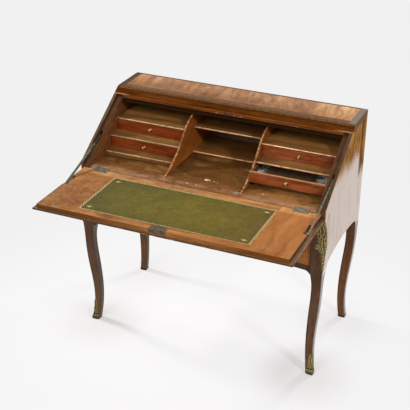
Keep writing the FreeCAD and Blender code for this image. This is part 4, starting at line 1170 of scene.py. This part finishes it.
low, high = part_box("leather_panel")
skin = bmesh.new()
rows = []
for row in range(SKIN_ROWS + 1):
    points = []
    for column in range(SKIN_COLUMNS + 1):
        x = low.x + (high.x - low.x) * column / SKIN_COLUMNS
        y = low.y + (high.y - low.y) * row / SKIN_ROWS
        edge = min(column, row, SKIN_COLUMNS - column, SKIN_ROWS - row)
        dip = SKIN_DIP * (1 + math.sin(41 * x + 3 * math.sin(29 * y)) * math.sin(53 * y + 2))
        z = high.z - (SKIN_EASED if edge == 0 else dip)
        points.append(skin.verts.new((x, y, z)))
    rows.append(points)
for near, far in zip(rows, rows[1:]):
    bridge(skin, near, far)
rim = [edge for edge in skin.edges if len(edge.link_faces) == 1]
wall = bmesh.ops.extrude_edge_only(skin, edges=rim)["geom"]
for vertex in (part for part in wall if isinstance(part, bmesh.types.BMVert)):
    vertex.co.z = low.z
rim = [edge for edge in skin.edges if len(edge.link_faces) == 1]
bmesh.ops.holes_fill(skin, edges=rim, sides=0)
bmesh.ops.recalc_face_normals(skin, faces=skin.faces)
olive_leather = leather.close(0.0003, metal=gilt * 0.3)
stand_for("leather_panel", skin, [olive_leather])


# Lock and escutcheon
# The lock is let into the free edge of the fall under a dark bronzed plate that turns down over
# the edge; outside, a round brass escutcheon frames the keyhole.
PLATE_BROWN = (0.1, 0.08, 0.05)

plate = Finish("lock_bronze")
plate.colour = plate.cloud(70, 5, 0.6).graded(*shades(PLATE_BROWN))
plate.height = plate.cloud(300, 4)
plate.rough = 0.45 + plate.height * 0.1
lock_bronze = [plate.close(0.0003, metal=0.4)]
stand_board("lock_plate", "steel", lock_bronze, width=0.0006, shortest=0.004)
stand_board("escutcheon", "brass", [turned_brass], width=0.0004, shortest=0.0)
refinish(old_iron, "lock_case", "lock_bolt")


# Stays
# Flat steel bars that hold the open fall: each turns on a bracket screwed to the fall and runs
# through the slot in the side on a keeper pin.
refinish(old_iron, "stay_keeper_pins")
for node in ("stay_left", "stay_right", "stay_bracket_left", "stay_bracket_right"):
    stand_board(node, "steel", [old_iron], width=0.0003, shortest=0.0015, segments=1)


# Studio
# A wide white floor under four soft lamps, seen from the right and above. The floor is
# lifted to near white for the camera and for reflections, and keeps a faint shadow.
FLOOR_REACH = 30.0
PAPER_NEAR, PAPER_FAR = (1.0, 0.99, 0.993), (0.885, 0.88, 0.88)
PAPER_GREY = (0.7, 0.69, 0.685)
AIR_LIGHT, AIR_SEEN = 0.42, 0.9
LAMP_AIM = Vector((0.0, 0.0, 0.6))
FEET = ((-0.46, -0.06, 0.38), (0.46, -0.06, 0.38), (-0.47, 0.39, 0.2), (0.47, 0.39, 0.2))
floor_stock = bmesh.new()
bmesh.ops.create_grid(floor_stock, x_segments=24, y_segments=24, size=FLOOR_REACH)
floor_mesh = bpy.data.meshes.new("studio_floor")
floor_stock.to_mesh(floor_mesh)
floor_stock.free()
studio_floor = set_out("studio_floor", floor_mesh)


def looked_at(tone):
    """1 for a ray from the camera, a reflection or clear glass, and 0 for one that only lights."""
    rays = ("Is Camera Ray", "Is Glossy Ray", "Is Transmission Ray")
    camera_ray, glossy_ray, clear_ray = tone.node("LightPath", None, None, rays)
    return camera_ray.most(glossy_ray).most(clear_ray)


paper = Finish("studio_paper")
paper.tree.nodes.remove(paper.tree.nodes["Principled BSDF"])
from_middle = paper.place.vector("LENGTH", out="Value")
# The floor's glow is painted brightest near the middle and greyer further out, as a painted pool
# of light.
fading = {"stops": [(0.0, PAPER_NEAR), (1.0, PAPER_FAR)]}
painted_pool = from_middle.node("ValToRGB", fading, {"Fac": from_middle.between(0.3, 1.35)}, "Color")
lit = paper.place.node("BsdfDiffuse", None, {"Color": PAPER_GREY})
bright = paper.place.node("Emission", None, {"Color": painted_pool, "Strength": 1.0})
shown = from_middle.between(0.6, 1.3) * 0.22 + 0.78
for foot_x, foot_y, depth in FEET:
    near = paper.place.far_from(foot_x, foot_y, 0.0).between(0.26, 0.04)
    shown -= near * depth
share = looked_at(paper.place) * shown
paper_mix = paper.place.node("MixShader", None, {0: share, 1: lit, 2: bright})
Tone.join(paper.tree.nodes["Material Output"], {"Surface": paper_mix})
floor_mesh.materials.append(paper.material)

world = bpy.data.worlds.new("studio_air")
world.use_nodes = True
bpy.context.scene.world = world
strength = AIR_LIGHT + looked_at(Tone(world.node_tree)) * (AIR_SEEN - AIR_LIGHT)
air = {"Color": (1.0, 1.0, 1.0), "Strength": strength}
Tone.join(world.node_tree.nodes["Background"], air)

LAMPS = (
    ("lamp_right", (3.4, -1.9, 3.1), 0.6, 85.0),
    ("lamp_front", (-0.9, -3.8, 2.8), 2.2, 78.0),
    ("lamp_left", (-3.1, 0.5, 2.8), 0.45, 98.0),
    ("lamp_back", (1.1, 2.9, 3.6), 0.6, 58.0),
)
for name, at, size, power in LAMPS:
    lamp = bpy.data.lights.new(name, "AREA")
    lamp.shape = "DISK"
    lamp.size = size
    lamp.energy = power
    lamp_object = set_out(name, lamp)
    lamp_object.location = at
    aim = LAMP_AIM - Vector(at)
    lamp_object.rotation_euler = aim.to_track_quat("-Z", "Y").to_euler()

CAMERA_AT = Vector((1.3535, -3.1439, 2.3742))
CAMERA_TARGET = Vector((0.0254, -0.0579, 0.6494))
CAMERA_ROLL = 0.0107
camera = bpy.data.cameras.new("camera")
camera.lens = 87.95
camera.sensor_width = 36.0
camera_object = set_out("camera", camera)
back = CAMERA_AT - CAMERA_TARGET
level = back.to_track_quat("Z", "Y").to_matrix().to_4x4()
rolled = level @ Matrix.Rotation(CAMERA_ROLL, 4, "Z")
camera_object.matrix_world = Matrix.Translation(CAMERA_AT) @ rolled
bpy.context.scene.camera = camera_object
bpy.context.scene.view_settings.view_transform = "Standard"
